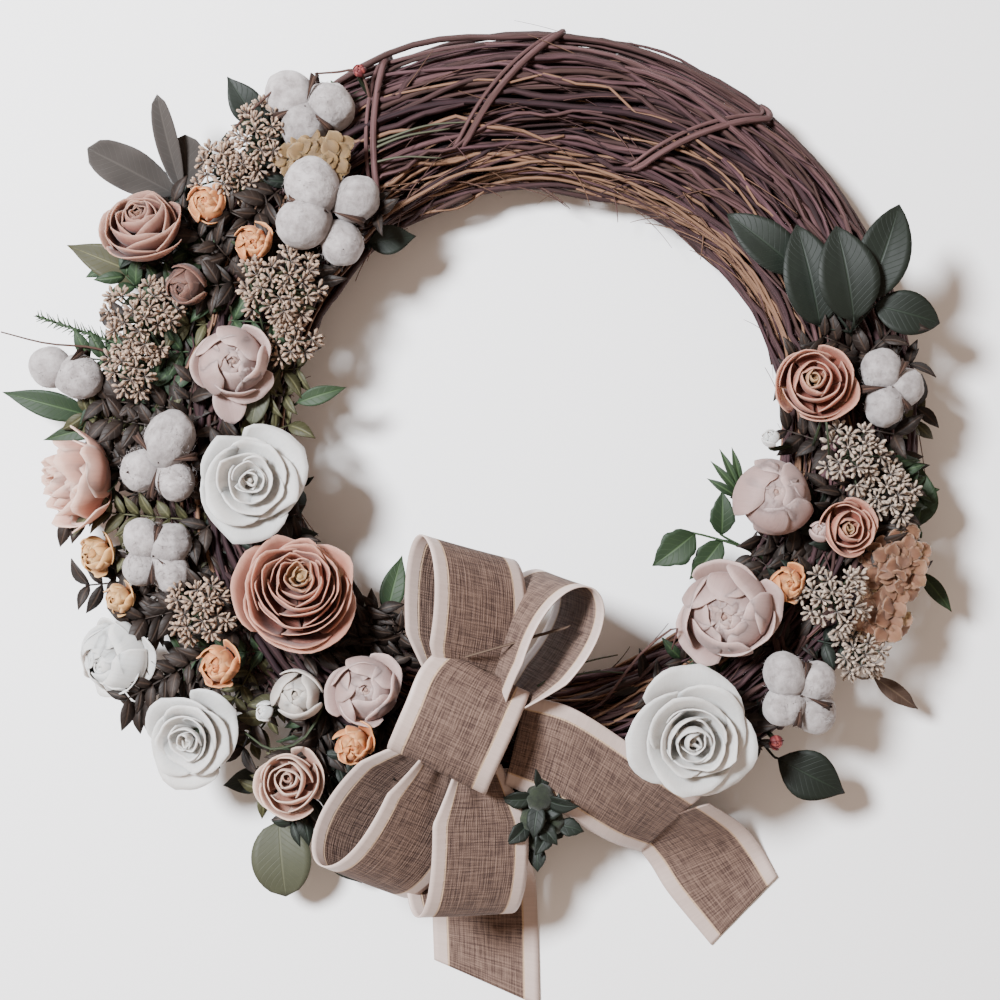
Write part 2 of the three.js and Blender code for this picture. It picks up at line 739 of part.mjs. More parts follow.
// A dome of florets: a geodesic ball, flattened, with a pointed floret raised on each upper face.
function dome([x, y, z, radius, height], random, raise) {
  const Ball = radius > FINE_DOME ? THREE.IcosahedronGeometry : THREE.OctahedronGeometry;
  const ball = new Ball(1, 1);
  const place = ball.getAttribute("position");
  const points = [];
  for (let i = 0; i < place.count; i += 3) {
    const [a, b, c] = [0, 1, 2].map((k) => new THREE.Vector3().fromBufferAttribute(place, i + k));
    const peak = a.clone().add(b).add(c).divideScalar(3);
    if (peak.z < FLORET_EDGE) {
      points.push(a, b, c);
    } else {
      peak.setLength(1 + raise * (0.7 + 0.6 * random()));
      points.push(a, b, peak, b, c, peak, c, a, peak);
    }
  }
  const geometry = new THREE.BufferGeometry().setFromPoints(points);
  const dented = 1 / (1 + 1.3 * raise);
  geometry.scale(radius * dented, radius * dented, height * dented);
  const at = new THREE.Vector3(x, y, z);
  const outward = THREE.MathUtils.clamp((Math.hypot(x, y) - RING_RADIUS) / LEAN_SPAN, -1, 1);
  const lean = (outward * LEAN_SHARE) / Math.hypot(x, y);
  const axis = new THREE.Vector3(x * lean, y * lean, 1).normalize();
  const made = offRing(solid(stand(geometry, at, axis)), at);
  return { made, guard: { middle: at, axis, radius, half: height } };
}

// A cotton tuft: a ball drawn in along four seams.
function tuft([x, y, z, radius], turn) {
  const ball = new THREE.SphereGeometry(radius, 2 * TUFT_SEAMS, radius > FINE_TUFT ? 4 : 3);
  ball.rotateX(Math.PI / 2);
  reshape(ball, (p) => {
    const angle = Math.atan2(p.y, p.x);
    const seam = Math.abs(Math.sin((TUFT_SEAMS * angle) / 2));
    p.multiplyScalar(1 - SEAM_DEPTH * seam * (1 - Math.abs(p.z) / radius));
  });
  ball.rotateZ(turn);
  ball.translate(x, y, z);
  const at = new THREE.Vector3(x, y, z);
  const axis = new THREE.Vector3(0, 0, 1);
  return { made: offRing(solid(ball), at), guard: { middle: at, axis, radius, half: radius } };
}

// A seed head: a faceted ball.
function seedHead([x, y, z, radius]) {
  const at = new THREE.Vector3(x, y, z);
  const axis = new THREE.Vector3(0, 0, 1);
  const ball = new THREE.OctahedronGeometry(radius, 1);
  ball.translate(x, y, z);
  return { made: offRing(solid(ball), at), guard: { middle: at, axis, radius, half: radius } };
}

const TWIG_RADIUS = 1.1;
const NEEDLE_RADIUS = 0.9;

function sprig({ from, to, needles, reach }) {
  const start = v3(from);
  const end = v3(to);
  const along = end.clone().sub(start).normalize();
  const side = new THREE.Vector3().crossVectors(along, new THREE.Vector3(0, 0, 1)).normalize();
  const made = [rod(start, end, TWIG_RADIUS)];
  for (let i = 0; i < needles; i += 1) {
    const t = 0.25 + (0.7 * i) / (needles - 1);
    const root = start.clone().lerp(end, t);
    const sign = i % 2 === 0 ? 1 : -1;
    const tip = root
      .clone()
      .addScaledVector(side, sign * reach)
      .addScaledVector(along, 0.7 * reach);
    tip.z += 2 + (i % 3);
    made.push(rod(root, tip, NEEDLE_RADIUS));
  }
  return join(made);
}

// The stalks that join the later parts of a head to its first, inside them.
function stalksBetween(placed) {
  const [first, ...others] = placed.map((row) => v3(row));
  return others.map((other) => rod(first, other, STEM_RADIUS));
}

// Every plant node in order of rank: a lower one gives way to those above it.
const random = randomFrom(SEED);
const ranked = [];
const STEM_TOP_SHARE = 0.6;
const PETAL_SPREAD = 1.05;

for (const [name, formName, at, radius, lean, colour] of BLOOMS) {
  const form = FORMS[formName];
  const axis = leaning(lean);
  const face = v3(at);
  const middle = face.clone().addScaledVector(axis, formMiddle(form) * radius);
  const root = face.clone().addScaledVector(axis, -STEM_TOP_SHARE * form.cup * radius);
  const guard = { middle, axis, radius: PETAL_SPREAD * radius, half: formHalf(form) * radius };
  const made = offRing(solid(stand(bloomGeometry(form, radius), face, axis)), face);
  ranked.push({ name, colour, parts: [{ made, guard }], ...stemOf(root) });
}

for (const head of COTTON_HEADS) {
  const parts = head.tufts.map((row, i) => tuft(row, i * 0.7));
  const stalks = stalksBetween(head.tufts);
  ranked.push({ name: head.name, colour: COTTON, parts, stalks, ...stemOf(v3(head.tufts[0])) });
}

for (const umbel of UMBELS) {
  const raise = umbel.name.startsWith("umbel") ? FILLER_RAISE : HYDRANGEA_RAISE;
  const parts = umbel.domes.map((row) => dome(row, random, raise));
  const stalks = stalksBetween(umbel.domes);
  ranked.push({ ...umbel, parts, stalks, ...stemOf(v3(umbel.domes[0])) });
}

ranked.push({
  ...BERRIES,
  parts: BERRIES.balls.map(seedHead),
  stalks: stalksBetween(BERRIES.balls),
  ...stemOf(v3(BERRIES.joint)),
});

const guardOfRing = ringGuard();

for (const spray of LEAVES) {
  const joint = v3(spray.joint);
  const blades = spray.blades.map((blade) => leaf(joint, blade));
  const made = join([knuckle(joint), ...blades]).subtract(guardOfRing);
  ranked.push({ ...spray, parts: [{ made }], ...stemOf(joint) });
}

for (const needled of SPRIGS) {
  const made = sprig(needled).subtract(guardOfRing);
  ranked.push({ ...needled, parts: [{ made }], ...stemOf(v3(needled.from)) });
}

// Cuts a part back where it would press into another: round parts meet at a flat plane, unless
// that would take most of the lower one, and thin ones are cut round the upper one's shell.
const PRESSED_SHARE = 0.55;

function giveWay({ made, guard }, other) {
  if (!guard) return made.subtract(shell(other));
  const toward = guard.middle.clone().sub(other.middle);
  const distance = toward.length();
  toward.normalize();
  const reach = reachOf(other, toward);
  if (reach + reachOf(guard, toward) < distance - CLEARANCE) return made;
  const plane = other.middle.dot(toward) + reach + CLEARANCE;
  const flat = made.trimByPlane(toward.toArray(), plane);
  return flat.volume() > PRESSED_SHARE * made.volume() ? flat : made.subtract(shell(other));
}

const ribbons = [
  { name: "bow_loops", made: bowLoops(), grown: bowLoops(CLEARANCE) },
  { name: "bow_tail_bottom", made: tailBottom(), grown: tailBottom(CLEARANCE) },
  { name: "bow_tail_right", made: tailRight(), grown: tailRight(CLEARANCE) },
];
ribbons.forEach((ribbon, i) => {
  for (const upper of ribbons.slice(0, i)) ribbon.made = ribbon.made.subtract(upper.grown);
  ribbon.made = largest(ribbon.made);
});

ranked.forEach((lower, i) => {
  for (const part of lower.parts) {
    for (const upper of ranked.slice(0, i)) {
      for (const { guard } of upper.parts) {
        if (guard) part.made = giveWay(part, guard);
      }
    }
  }
  lower.made = join([...lower.parts.map((part) => part.made), ...(lower.stalks ?? [])]);
  for (const ribbon of ribbons) lower.made = lower.made.subtract(ribbon.grown);
  for (const other of ranked) {
    if (other !== lower) lower.made = lower.made.subtract(other.hole);
  }
  lower.made = largest(lower.made.add(lower.stem));
});

const holes = join(ranked.map((node) => node.hole));
const ring = largest(vineRing(random).subtract(holes));

const wreath = new THREE.Group();
wreath.name = "sympathy_wreath";
wreath.position.set(RING_CENTRE[0], RING_CENTRE[1], 0);

function place(name, made, colour, roughness) {
  const material = new THREE.MeshStandardMaterial({ color: colour, roughness, metalness: 0 });
  const mesh = new THREE.Mesh(geometryOf(made), material);
  mesh.name = name;
  wreath.add(mesh);
}

place("vine_ring", ring, 0x5a3b40, 0.85);
for (const ribbon of ribbons) place(ribbon.name, ribbon.made, 0x9a7f78, 0.9);
for (const node of ranked) place(node.name, node.made, node.colour, 0.8);

export default wreath;
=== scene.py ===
"""A sympathy wreath of silk flowers on a grapevine ring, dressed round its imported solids.

Places are in millimetres from the ring's centre, with +Z out of the wreath's face, until
Cluster.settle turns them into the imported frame's metres. Leans, turns and rolls are in degrees.
"""

import logging
import math
from dataclasses import dataclass
from enum import Enum
from functools import cache
from typing import Callable, Iterable, Iterator

import bpy
import numpy as np
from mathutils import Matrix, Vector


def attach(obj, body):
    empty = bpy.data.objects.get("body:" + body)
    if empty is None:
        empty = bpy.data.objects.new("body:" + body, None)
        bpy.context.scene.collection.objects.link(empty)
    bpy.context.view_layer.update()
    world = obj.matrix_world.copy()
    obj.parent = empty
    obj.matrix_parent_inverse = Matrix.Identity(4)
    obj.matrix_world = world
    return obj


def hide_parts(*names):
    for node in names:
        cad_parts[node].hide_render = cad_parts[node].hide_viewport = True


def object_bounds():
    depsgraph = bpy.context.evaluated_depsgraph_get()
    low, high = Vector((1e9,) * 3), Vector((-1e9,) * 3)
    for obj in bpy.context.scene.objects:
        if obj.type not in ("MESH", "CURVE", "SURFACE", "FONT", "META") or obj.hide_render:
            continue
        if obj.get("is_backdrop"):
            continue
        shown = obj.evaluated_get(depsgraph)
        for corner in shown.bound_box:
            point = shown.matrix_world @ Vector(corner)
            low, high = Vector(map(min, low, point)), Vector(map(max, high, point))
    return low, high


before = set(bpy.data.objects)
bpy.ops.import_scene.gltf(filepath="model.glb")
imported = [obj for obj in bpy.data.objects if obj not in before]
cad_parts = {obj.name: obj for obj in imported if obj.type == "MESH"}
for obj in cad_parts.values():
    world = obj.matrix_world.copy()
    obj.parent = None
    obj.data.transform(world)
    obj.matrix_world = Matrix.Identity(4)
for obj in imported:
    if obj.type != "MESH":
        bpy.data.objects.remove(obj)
CAD_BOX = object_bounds()

logging.basicConfig(level=logging.INFO, format="%(message)s")
log = logging.getLogger("wreath")

METRES = 0.001
RING_CENTRE = np.array([32.0, 57.0, 0.0])
RING_RADIUS = 187.5
RING_HEIGHT = 27.6
BUNDLE_HALF_WIDTH = 35.0
BUNDLE_HALF_DEPTH = 24.0
STEM_RADIUS = 1.6
GOLDEN_ANGLE = math.radians(137.508)
FULL_TURN = 2 * math.pi
UP = np.array([0.0, 0.0, 1.0])
LEVEL = np.array([1, 1, 0])

Array = np.ndarray
Point = tuple[float, float, float] | Array
Path = Callable[[Array], Array]
Surface = Callable[[Array, Array], Array]
Random = np.random.Generator


class Slot(Enum):
    """The record's material slots."""

    VINE = "vine"
    RIBBON = "ribbon"
    WHITE = "petals_white"
    BLUSH = "petals_blush"
    DUSTY = "petals_dusty"
    ORANGE = "petals_orange"
    GOLD = "petals_gold"
    COTTON = "cotton"
    FILLER = "filler"
    HYDRANGEA_GOLD = "hydrangea_gold"
    HYDRANGEA_PEACH = "hydrangea_peach"
    LEAF_DARK = "leaf_dark"
    LEAF_GREEN = "leaf_green"
    LEAF_GREY = "leaf_grey"
    LEAF_DRIED = "leaf_dried"
    SEED_HEADS = "seed_heads"


def unit(vectors: Array) -> Array:
    """Returns the vectors with their lengths made one."""
    size = np.linalg.norm(vectors, axis=-1, keepdims=True)
    return vectors / np.maximum(size, 1e-9)


def direction(turn: float, tilt: float) -> Array:
    """Gives the unit vector that leans from +Z by a tilt, towards a compass direction from +X."""
    a, b = math.radians(turn), math.radians(tilt)
    return np.array([math.sin(b) * math.cos(a), math.sin(b) * math.sin(a), math.cos(b)])


def frame_on(axis: Array) -> Array:
    """Gives three rows, two across the axis and the axis itself.

    Args:
        axis: A unit vector.

    Returns:
        The three unit vectors.
    """
    helper = np.array([1.0, 0.0, 0.0]) if abs(axis[0]) < 0.9 else np.array([0.0, 1.0, 0.0])
    first = unit(np.cross(helper, axis))
    return np.array([first, np.cross(axis, first), axis])


def side_of(axes: Array, degrees: float) -> Array:
    """Gives the unit vector across an axis frame's axis at an angle."""
    a = math.radians(degrees)
    return axes[0] * math.cos(a) + axes[1] * math.sin(a)


def on_ring(degrees: float, reach: float, height: float) -> Array:
    """Gives the place at an angle and a distance from the ring's centre."""
    a = math.radians(degrees)
    return np.array([reach * math.cos(a), reach * math.sin(a), height])


def ring_under(place: Point) -> Array:
    """Gives the point inside the ring's bundle that a stem from a place goes to.

    Args:
        place: The place, in mm.

    Returns:
        The point in mm.
    """
    flat = np.array([place[0], place[1], 0.0])
    reach = np.linalg.norm(flat)
    inside = np.clip(reach, RING_RADIUS - 20, RING_RADIUS + 20)
    return flat / reach * inside + UP * RING_HEIGHT


def ripple(points: Array, rate: float, seed: int, waves: int = 7) -> Array:
    """A smooth seeded noise of the points, from about -1 to 1.

    Args:
        points: The places to read it at.
        rate: Waves in a unit of length.
        seed: What makes one noise differ from another.
        waves: How many sine waves are added.

    Returns:
        One number for each point.
    """
    source = np.random.default_rng(seed)
    ways = unit(source.normal(size=(waves, points.shape[1]))) * rate * source.uniform(0.6, 1.5, (waves, 1))
    phase = source.uniform(0, FULL_TURN, waves)
    return np.sin(points @ ways.T * FULL_TURN + phase).sum(axis=1) / (0.5 * waves)


@dataclass(frozen=True)
class Template:
    """A closed mesh that is modelled once and copied many times."""

    points: Array
    loops: Array
    starts: Array

    @property
    def share(self) -> Array:
        """How far along a rod each of its points is, 0 to 1."""
        return self.points[:, 2]


def take_template() -> Template:
    """Reads the modelled object's mesh as a template and removes the object.

    Extruding lists a rod's faces in another order from run to run, so they are sorted here.

    Returns:
        The template.
    """
    piece = bpy.context.object
    points = np.array([vertex.co for vertex in piece.data.vertices], dtype=float)
    faces = sorted(tuple(face.vertices) for face in piece.data.polygons)
    bpy.data.objects.remove(piece)
    loops = np.concatenate(faces).astype(np.int32)
    starts = np.cumsum([0] + [len(face) for face in faces[:-1]]).astype(np.int32)
    return Template(points, loops, starts)


def sheet_template(columns: int, rows: int) -> Template:
    """Models a thin closed sheet of columns and rows of faces, x from -1 to 1, y from 0 to 1.

    Args:
        columns: How many faces lie across it.
        rows: How many lie along it.

    Returns:
        The template.
    """
    bpy.ops.object.select_all(action="DESELECT")
    bpy.ops.mesh.primitive_grid_add(x_subdivisions=columns, y_subdivisions=rows, size=2)
    bpy.ops.object.mode_set(mode="EDIT")
    bpy.ops.mesh.select_all(action="SELECT")
    bpy.ops.transform.resize(value=(1, 0.5, 1))
    bpy.ops.transform.translate(value=(0, 0.5, 0))
    bpy.ops.object.mode_set(mode="OBJECT")
    wall = bpy.context.object.modifiers.new("wall", "SOLIDIFY")
    wall.thickness = 1.0
    wall.offset = 0.0
    bpy.ops.object.modifier_apply(modifier=wall.name)
    return take_template()


def rod_template(sides: int, rings: int) -> Template:
    """Models a closed rod of some sides and rings, of radius one along z from 0 to 1.

    Args:
        sides: How many sides it has.
        rings: How many lengths it is divided into.

    Returns:
        The template.
    """
    bpy.ops.object.select_all(action="DESELECT")
    bpy.ops.mesh.primitive_circle_add(vertices=sides, radius=1, fill_type="NGON")
    bpy.ops.object.mode_set(mode="EDIT")
    bpy.ops.mesh.select_all(action="SELECT")
    for _ in range(rings):
        bpy.ops.mesh.extrude_region_move(TRANSFORM_OT_translate={"value": (0, 0, 1 / rings)})
    bpy.ops.mesh.select_all(action="SELECT")
    bpy.ops.mesh.normals_make_consistent(inside=False)
    bpy.ops.object.mode_set(mode="OBJECT")
    return take_template()


def ball_template(subdivisions: int) -> Template:
    """Models a ball of radius one out of even triangles.

    Args:
        subdivisions: How finely it is divided.

    Returns:
        The template.
    """
    bpy.ops.object.select_all(action="DESELECT")
    bpy.ops.mesh.primitive_ico_sphere_add(subdivisions=subdivisions, radius=1)
    return take_template()


def wrap(template: Template, surface: Surface, thickness: float) -> Array:
    """Lays a sheet template on a curved surface.

    Args:
        template: A sheet template.
        surface: Gives the places of arrays of u (-1 to 1) and v (0 to 1).
        thickness: The sheet's thickness in mm.

    Returns:
        The template's points on the surface.
    """
    u, v, w = template.points.T
    step = 0.004
    inner_u, inner_v = u * (1 - 2 * step), step + v * (1 - 2 * step)
    across = surface(inner_u + step, inner_v) - surface(inner_u - step, inner_v)
    along = surface(inner_u, inner_v + step) - surface(inner_u, inner_v - step)
    return surface(u, v) + unit(np.cross(across, along)) * (w * thickness)[:, None]


def along_path(rod: Template, path: Path, radius: Array | float) -> Array:
    """Lays a rod template along a path.

    Args:
        rod: A rod template.
        path: Gives the places of an array of shares of the length.
        radius: The radius of each point in mm, or of all.

    Returns:
        The template's points round the path.
    """
    x, y, share = rod.points.T
    step = 0.003
    inner = step + share * (1 - 2 * step)
    ahead = unit(path(inner + step) - path(inner - step))
    steep = np.abs(ahead[:, 2:3]) > 0.96
    side = unit(np.cross(np.where(steep, np.array([[1.0, 0.0, 0.0]]), UP[None, :]), ahead))
    over = np.cross(ahead, side)
    reach = np.broadcast_to(radius, share.shape)[:, None]
    return path(share) + reach * (x[:, None] * side + y[:, None] * over)


def bezier(points: Iterable[Point]) -> Path:
    """Gives the smooth path through at least two points, as a function of its share, 0 to 1.

    Args:
        points: The places that it goes through.

    Returns:
        A function from shares of the path to places.
    """
    knots = np.array([list(p) for p in points], dtype=float)
    padded = np.vstack([2 * knots[0] - knots[1], knots, 2 * knots[-1] - knots[-2]])

    def path(share: Array) -> Array:
        """The Catmull-Rom place of each share.

        Args:
            share: Shares of the path.

        Returns:
            The places.
        """
        place = np.clip(share, 0, 1) * (len(knots) - 1)
        index = np.minimum(place.astype(int), len(knots) - 2)
        t = (place - index)[:, None]
        a, b, c, d = (padded[index + k] for k in range(4))
        near = (2 * t**3 - 3 * t**2 + 1) * b + (t**3 - 2 * t**2 + t) * (c - a) / 2
        return near + (3 * t**2 - 2 * t**3) * c + (t**3 - t**2) * (d - b) / 2

    return path


# Map Range takes its value at 0, the old range at 1 and 2 and the new one at 3 and 4. A colour
# Mix takes its share at 0 and its two colours at 6 and 7.
NOISE = "ShaderNodeTexNoise"
MIX = "ShaderNodeMix"
MATH = "ShaderNodeMath"
VECTOR = "ShaderNodeVectorMath"
RANGE = "ShaderNodeMapRange"
SPLIT = "ShaderNodeSeparateXYZ"
UV_MAP = "ShaderNodeUVMap"
PLACE = "ShaderNodeTexCoord"
RGBA = {"data_type": "RGBA"}
TIMES = {"data_type": "RGBA", "blend_type": "MULTIPLY"}


def linear(colour: str) -> tuple[float, float, float, float]:
    """Turns an sRGB hex colour into the linear one that shaders take."""
    parts = [int(colour[i : i + 2], 16) / 255 for i in (0, 2, 4)]
    return (*[c / 12.92 if c <= 0.04045 else ((c + 0.055) / 1.055) ** 2.4 for c in parts], 1.0)


class Shader:
    """A material while it is made, with its node tree and its Principled shader."""

    def __init__(self, name: str) -> None:
        """Starts the material of a name.

        Args:
            name: The material's name.
        """
        self.material = bpy.data.materials.new(name)
        self.material.use_nodes = True
        self.tree = self.material.node_tree

    def node(self, kind: str, fills: dict, **settings: object) -> bpy.types.NodeOutputs:
        """Adds a shader node with its settings and links.

        Args:
            kind: The node's type.
            fills: A value or another node's output for each input, by name or number.
            settings: The node's own settings.

        Returns:
            The node's outputs.
        """
        node = self.tree.nodes.new(kind)
        for name, value in settings.items():
            setattr(node, name, value)
        self.fill(node, fills)
        return node.outputs

    def fill(self, node: bpy.types.Node, fills: dict) -> None:
        """Gives a node's inputs their values, or links them to other nodes' outputs."""
        for key, value in fills.items():
            if isinstance(value, bpy.types.NodeSocket):
                self.tree.links.new(value, node.inputs[key])
            else:
                node.inputs[key].default_value = value

    def shade(self) -> tuple[bpy.types.NodeSocket, ...]:
        """Reads the shade attribute as its tone, chance, stage and openness.

        Returns:
            The four outputs.
        """
        shade = self.node("ShaderNodeAttribute", {}, attribute_name="shade")
        parts = self.node("ShaderNodeSeparateColor", {0: shade["Color"]})
        return parts[0], parts[1], parts[2], shade["Alpha"]

    def finish(self, fills: dict, relief: dict, invert: bool = False) -> bpy.types.Material:
        """Fills the Principled shader and gives it its relief.

        Args:
            fills: A value or an output for each of the shader's inputs.
            relief: The bump's strength, distance in metres, and height.
            invert: Whether what is high in the relief is pressed in.

        Returns:
            The material.
        """
        bump = self.node("ShaderNodeBump", relief, invert=invert)[0]
        self.fill(self.tree.nodes["Principled BSDF"], {**fills, "Normal": bump})
        return self.material


@dataclass(frozen=True)
class SilkPetal:
    """Woven polyester petal cloth, heat pressed and dip dyed: matt, soft, with paler lips and shading painted
    towards each petal's base.
    """

    name: str
    slot: Slot
    body: str
    lip: str
    heart: str
    fold: str
    # The colour painted towards each petal's base. In most silks it is painted shade. In the white silk it is
    # lighter than the body: painted light that offsets the shade between petals.
    deep: str
    heart_size: float = 0.35

    @cache
    def material(self) -> bpy.types.Material:
        """Makes it: lips and heart tinted, dye mottled, pressed veins 1.1 mm apart, shading painted towards
        each petal's base.

        Returns:
            The material.
        """
        shader = Shader(self.name)
        node = shader.node
        tone, chance, stage, open_to = shader.shade()
        uv = node(UV_MAP, {}, uv_map="UVMap")[0]
        along = node(VECTOR, {0: uv, 1: (0.9, 0.06, 1.0)}, operation="MULTIPLY")[0]
        veins = node(NOISE, {"Vector": along, "Scale": 1.0, "Detail": 3.0})[0]
        place = node(PLACE, {})["Object"]
        mottle = node(NOISE, {"Vector": place, "Scale": 75.0, "Detail": 4.0, "Roughness": 0.6})[0]
        blotch = node(RANGE, {0: mottle, 1: 0.36, 2: 0.62})[0]
        body = linear(self.body)
        dyed = node(MIX, {0: blotch, 6: linear(self.fold), 7: body}, **RGBA)[2]
        spread = node(MATH, {0: chance, 1: 0.5}, operation="MULTIPLY")[0]
        evened = node(MIX, {0: spread, 6: dyed, 7: body}, **RGBA)[2]
        # Painted shade: where open_to, the share up the petal, is low, the petal takes the deep colour.
        lit = node(RANGE, {0: open_to, 1: 0.3, 2: 0.95})[0]
        shaded = node(MIX, {0: lit, 6: linear(self.deep), 7: evened}, **RGBA)[2]
        lipped = node(MIX, {0: tone, 6: shaded, 7: linear(self.lip)}, **RGBA)[2]
        inside = node(RANGE, {0: stage, 1: 0.0, 2: self.heart_size, 3: 0.9, 4: 0.0})[0]
        tinted = node(MIX, {0: inside, 6: lipped, 7: linear(self.heart)}, **RGBA)[2]
        ribbed = node(RANGE, {0: veins, 1: 0.3, 2: 0.7, 3: 0.94, 4: 1.03})[0]
        fills = {
            "Base Color": node(MIX, {0: 1.0, 6: tinted, 7: ribbed}, **TIMES)[2],
            "Roughness": 0.75,
            "Sheen Weight": 0.1,
            "Subsurface Weight": 0.55,
            "Subsurface Radius": (0.006, 0.005, 0.0045),
            "Subsurface Scale": 1.0,
        }
        return shader.finish(fills, {"Strength": 0.3, "Distance": 0.0005, "Height": veins})


@dataclass(frozen=True)
class PressedLeaf:
    """Printed polyester leaf with pressed veins: a soft low gloss over a mottled print."""

    name: str
    slot: Slot
    face: str
    deep: str
    vein: str
    edge: str
    gloss: float = 0.6
    nap: float = 0.0

    @cache
    def material(self) -> bpy.types.Material:
        """Makes it: side veins slant 4 mm apart from a midrib 0.8 mm wide.

        Returns:
            The material.
        """
        shader = Shader(self.name)
        node = shader.node
        tone, chance, _, _ = shader.shade()
        parts = node(SPLIT, {0: node(UV_MAP, {}, uv_map="UVMap")[0]})
        across = node(MATH, {0: parts[0]}, operation="ABSOLUTE")[0]
        slant = node(MATH, {0: across, 1: -0.8, 2: parts[1]}, operation="MULTIPLY_ADD")[0]
        turn = node(MATH, {0: slant, 1: math.pi / 4.0}, operation="MULTIPLY")[0]
        wave = node(MATH, {0: turn}, operation="SINE")[0]
        ridge = node(MATH, {0: wave}, operation="ABSOLUTE")[0]
        side_veins = node(RANGE, {0: ridge, 1: 0.0, 2: 0.22, 3: 0.4, 4: 0.0})[0]
        midrib = node(RANGE, {0: across, 1: 0.3, 2: 0.9, 3: 0.8, 4: 0.0})[0]
        veins = node(MATH, {0: side_veins, 1: midrib}, operation="MAXIMUM")[0]
        place = node(PLACE, {})["Object"]
        mottle = node(NOISE, {"Vector": place, "Scale": 120.0, "Detail": 5.0})[0]
        blend = node(MATH, {0: mottle, 1: chance}, operation="MULTIPLY")[0]
        body = node(MIX, {0: blend, 6: linear(self.deep), 7: linear(self.face)}, **RGBA)[2]
        edged = node(MIX, {0: tone, 6: body, 7: linear(self.edge)}, **RGBA)[2]
        height = node(MATH, {0: mottle, 1: 0.6, 2: veins}, operation="MULTIPLY_ADD")[0]
        fills = {
            "Base Color": node(MIX, {0: veins, 6: edged, 7: linear(self.vein)}, **RGBA)[2],
            "Roughness": self.gloss,
            "Specular IOR Level": 0.3,
            "Sheen Weight": self.nap,
        }
        return shader.finish(fills, {"Strength": 0.5, "Distance": 0.0006, "Height": height}, invert=True)


@dataclass(frozen=True)
class VineBark:
    """Dried grapevine: fibrous, peeling bark in browns from plum to tan, quite matt."""

    name: str = "grapevine_bark"
    slot: Slot = Slot.VINE
    plum: str = "150a0f"
    brown: str = "2f1b20"
    # The palest, worn bark. Canes deep in the bundle are painted with shade and stay off it.
    wear_and_depth_shade: str = "5a3f44"
    tan: str = "80604a"

    @cache
    def material(self) -> bpy.types.Material:
        """Makes it: bark fibres 0.7 mm wide and some 20 mm long run along each cane.

        Returns:
            The material.
        """
        shader = Shader(self.name)
        node = shader.node
        tone, chance, _, _ = shader.shade()
        uv = node(UV_MAP, {}, uv_map="UVMap")[0]
        own = node("ShaderNodeCombineXYZ", {2: chance})[0]
        long = node(VECTOR, {0: uv, 1: (0.75, 0.05, 1.0)}, operation="MULTIPLY")[0]
        shifted = node(VECTOR, {0: own, 1: (0.0, 0.0, 90.0), 2: long}, operation="MULTIPLY_ADD")[0]
        fibres = node(NOISE, {"Vector": shifted, "Scale": 1.0, "Detail": 4.0, "Roughness": 0.65})[0]
        worn_at = node(RANGE, {0: fibres, 1: 0.36, 2: 0.64})[0]
        brown = linear(self.brown)
        dark_bark_and_shade = node(MIX, {0: worn_at, 6: linear(self.plum), 7: brown}, **RGBA)[2]
        fresh = node(MIX, {0: worn_at, 6: brown, 7: linear(self.wear_and_depth_shade)}, **RGBA)[2]
        # Painted shade: chance is kept low for canes deep in the bundle, so they take the dark end. Outer
        # canes vary at random with wear.
        mixed = node(MIX, {0: chance, 6: dark_bark_and_shade, 7: fresh}, **RGBA)[2]
        tanned = node(MIX, {0: tone, 6: mixed, 7: linear(self.tan)}, **RGBA)[2]
        fills = {"Base Color": tanned, "Roughness": 0.78, "Specular IOR Level": 0.25}
        return shader.finish(fills, {"Strength": 0.8, "Distance": 0.0008, "Height": fibres})


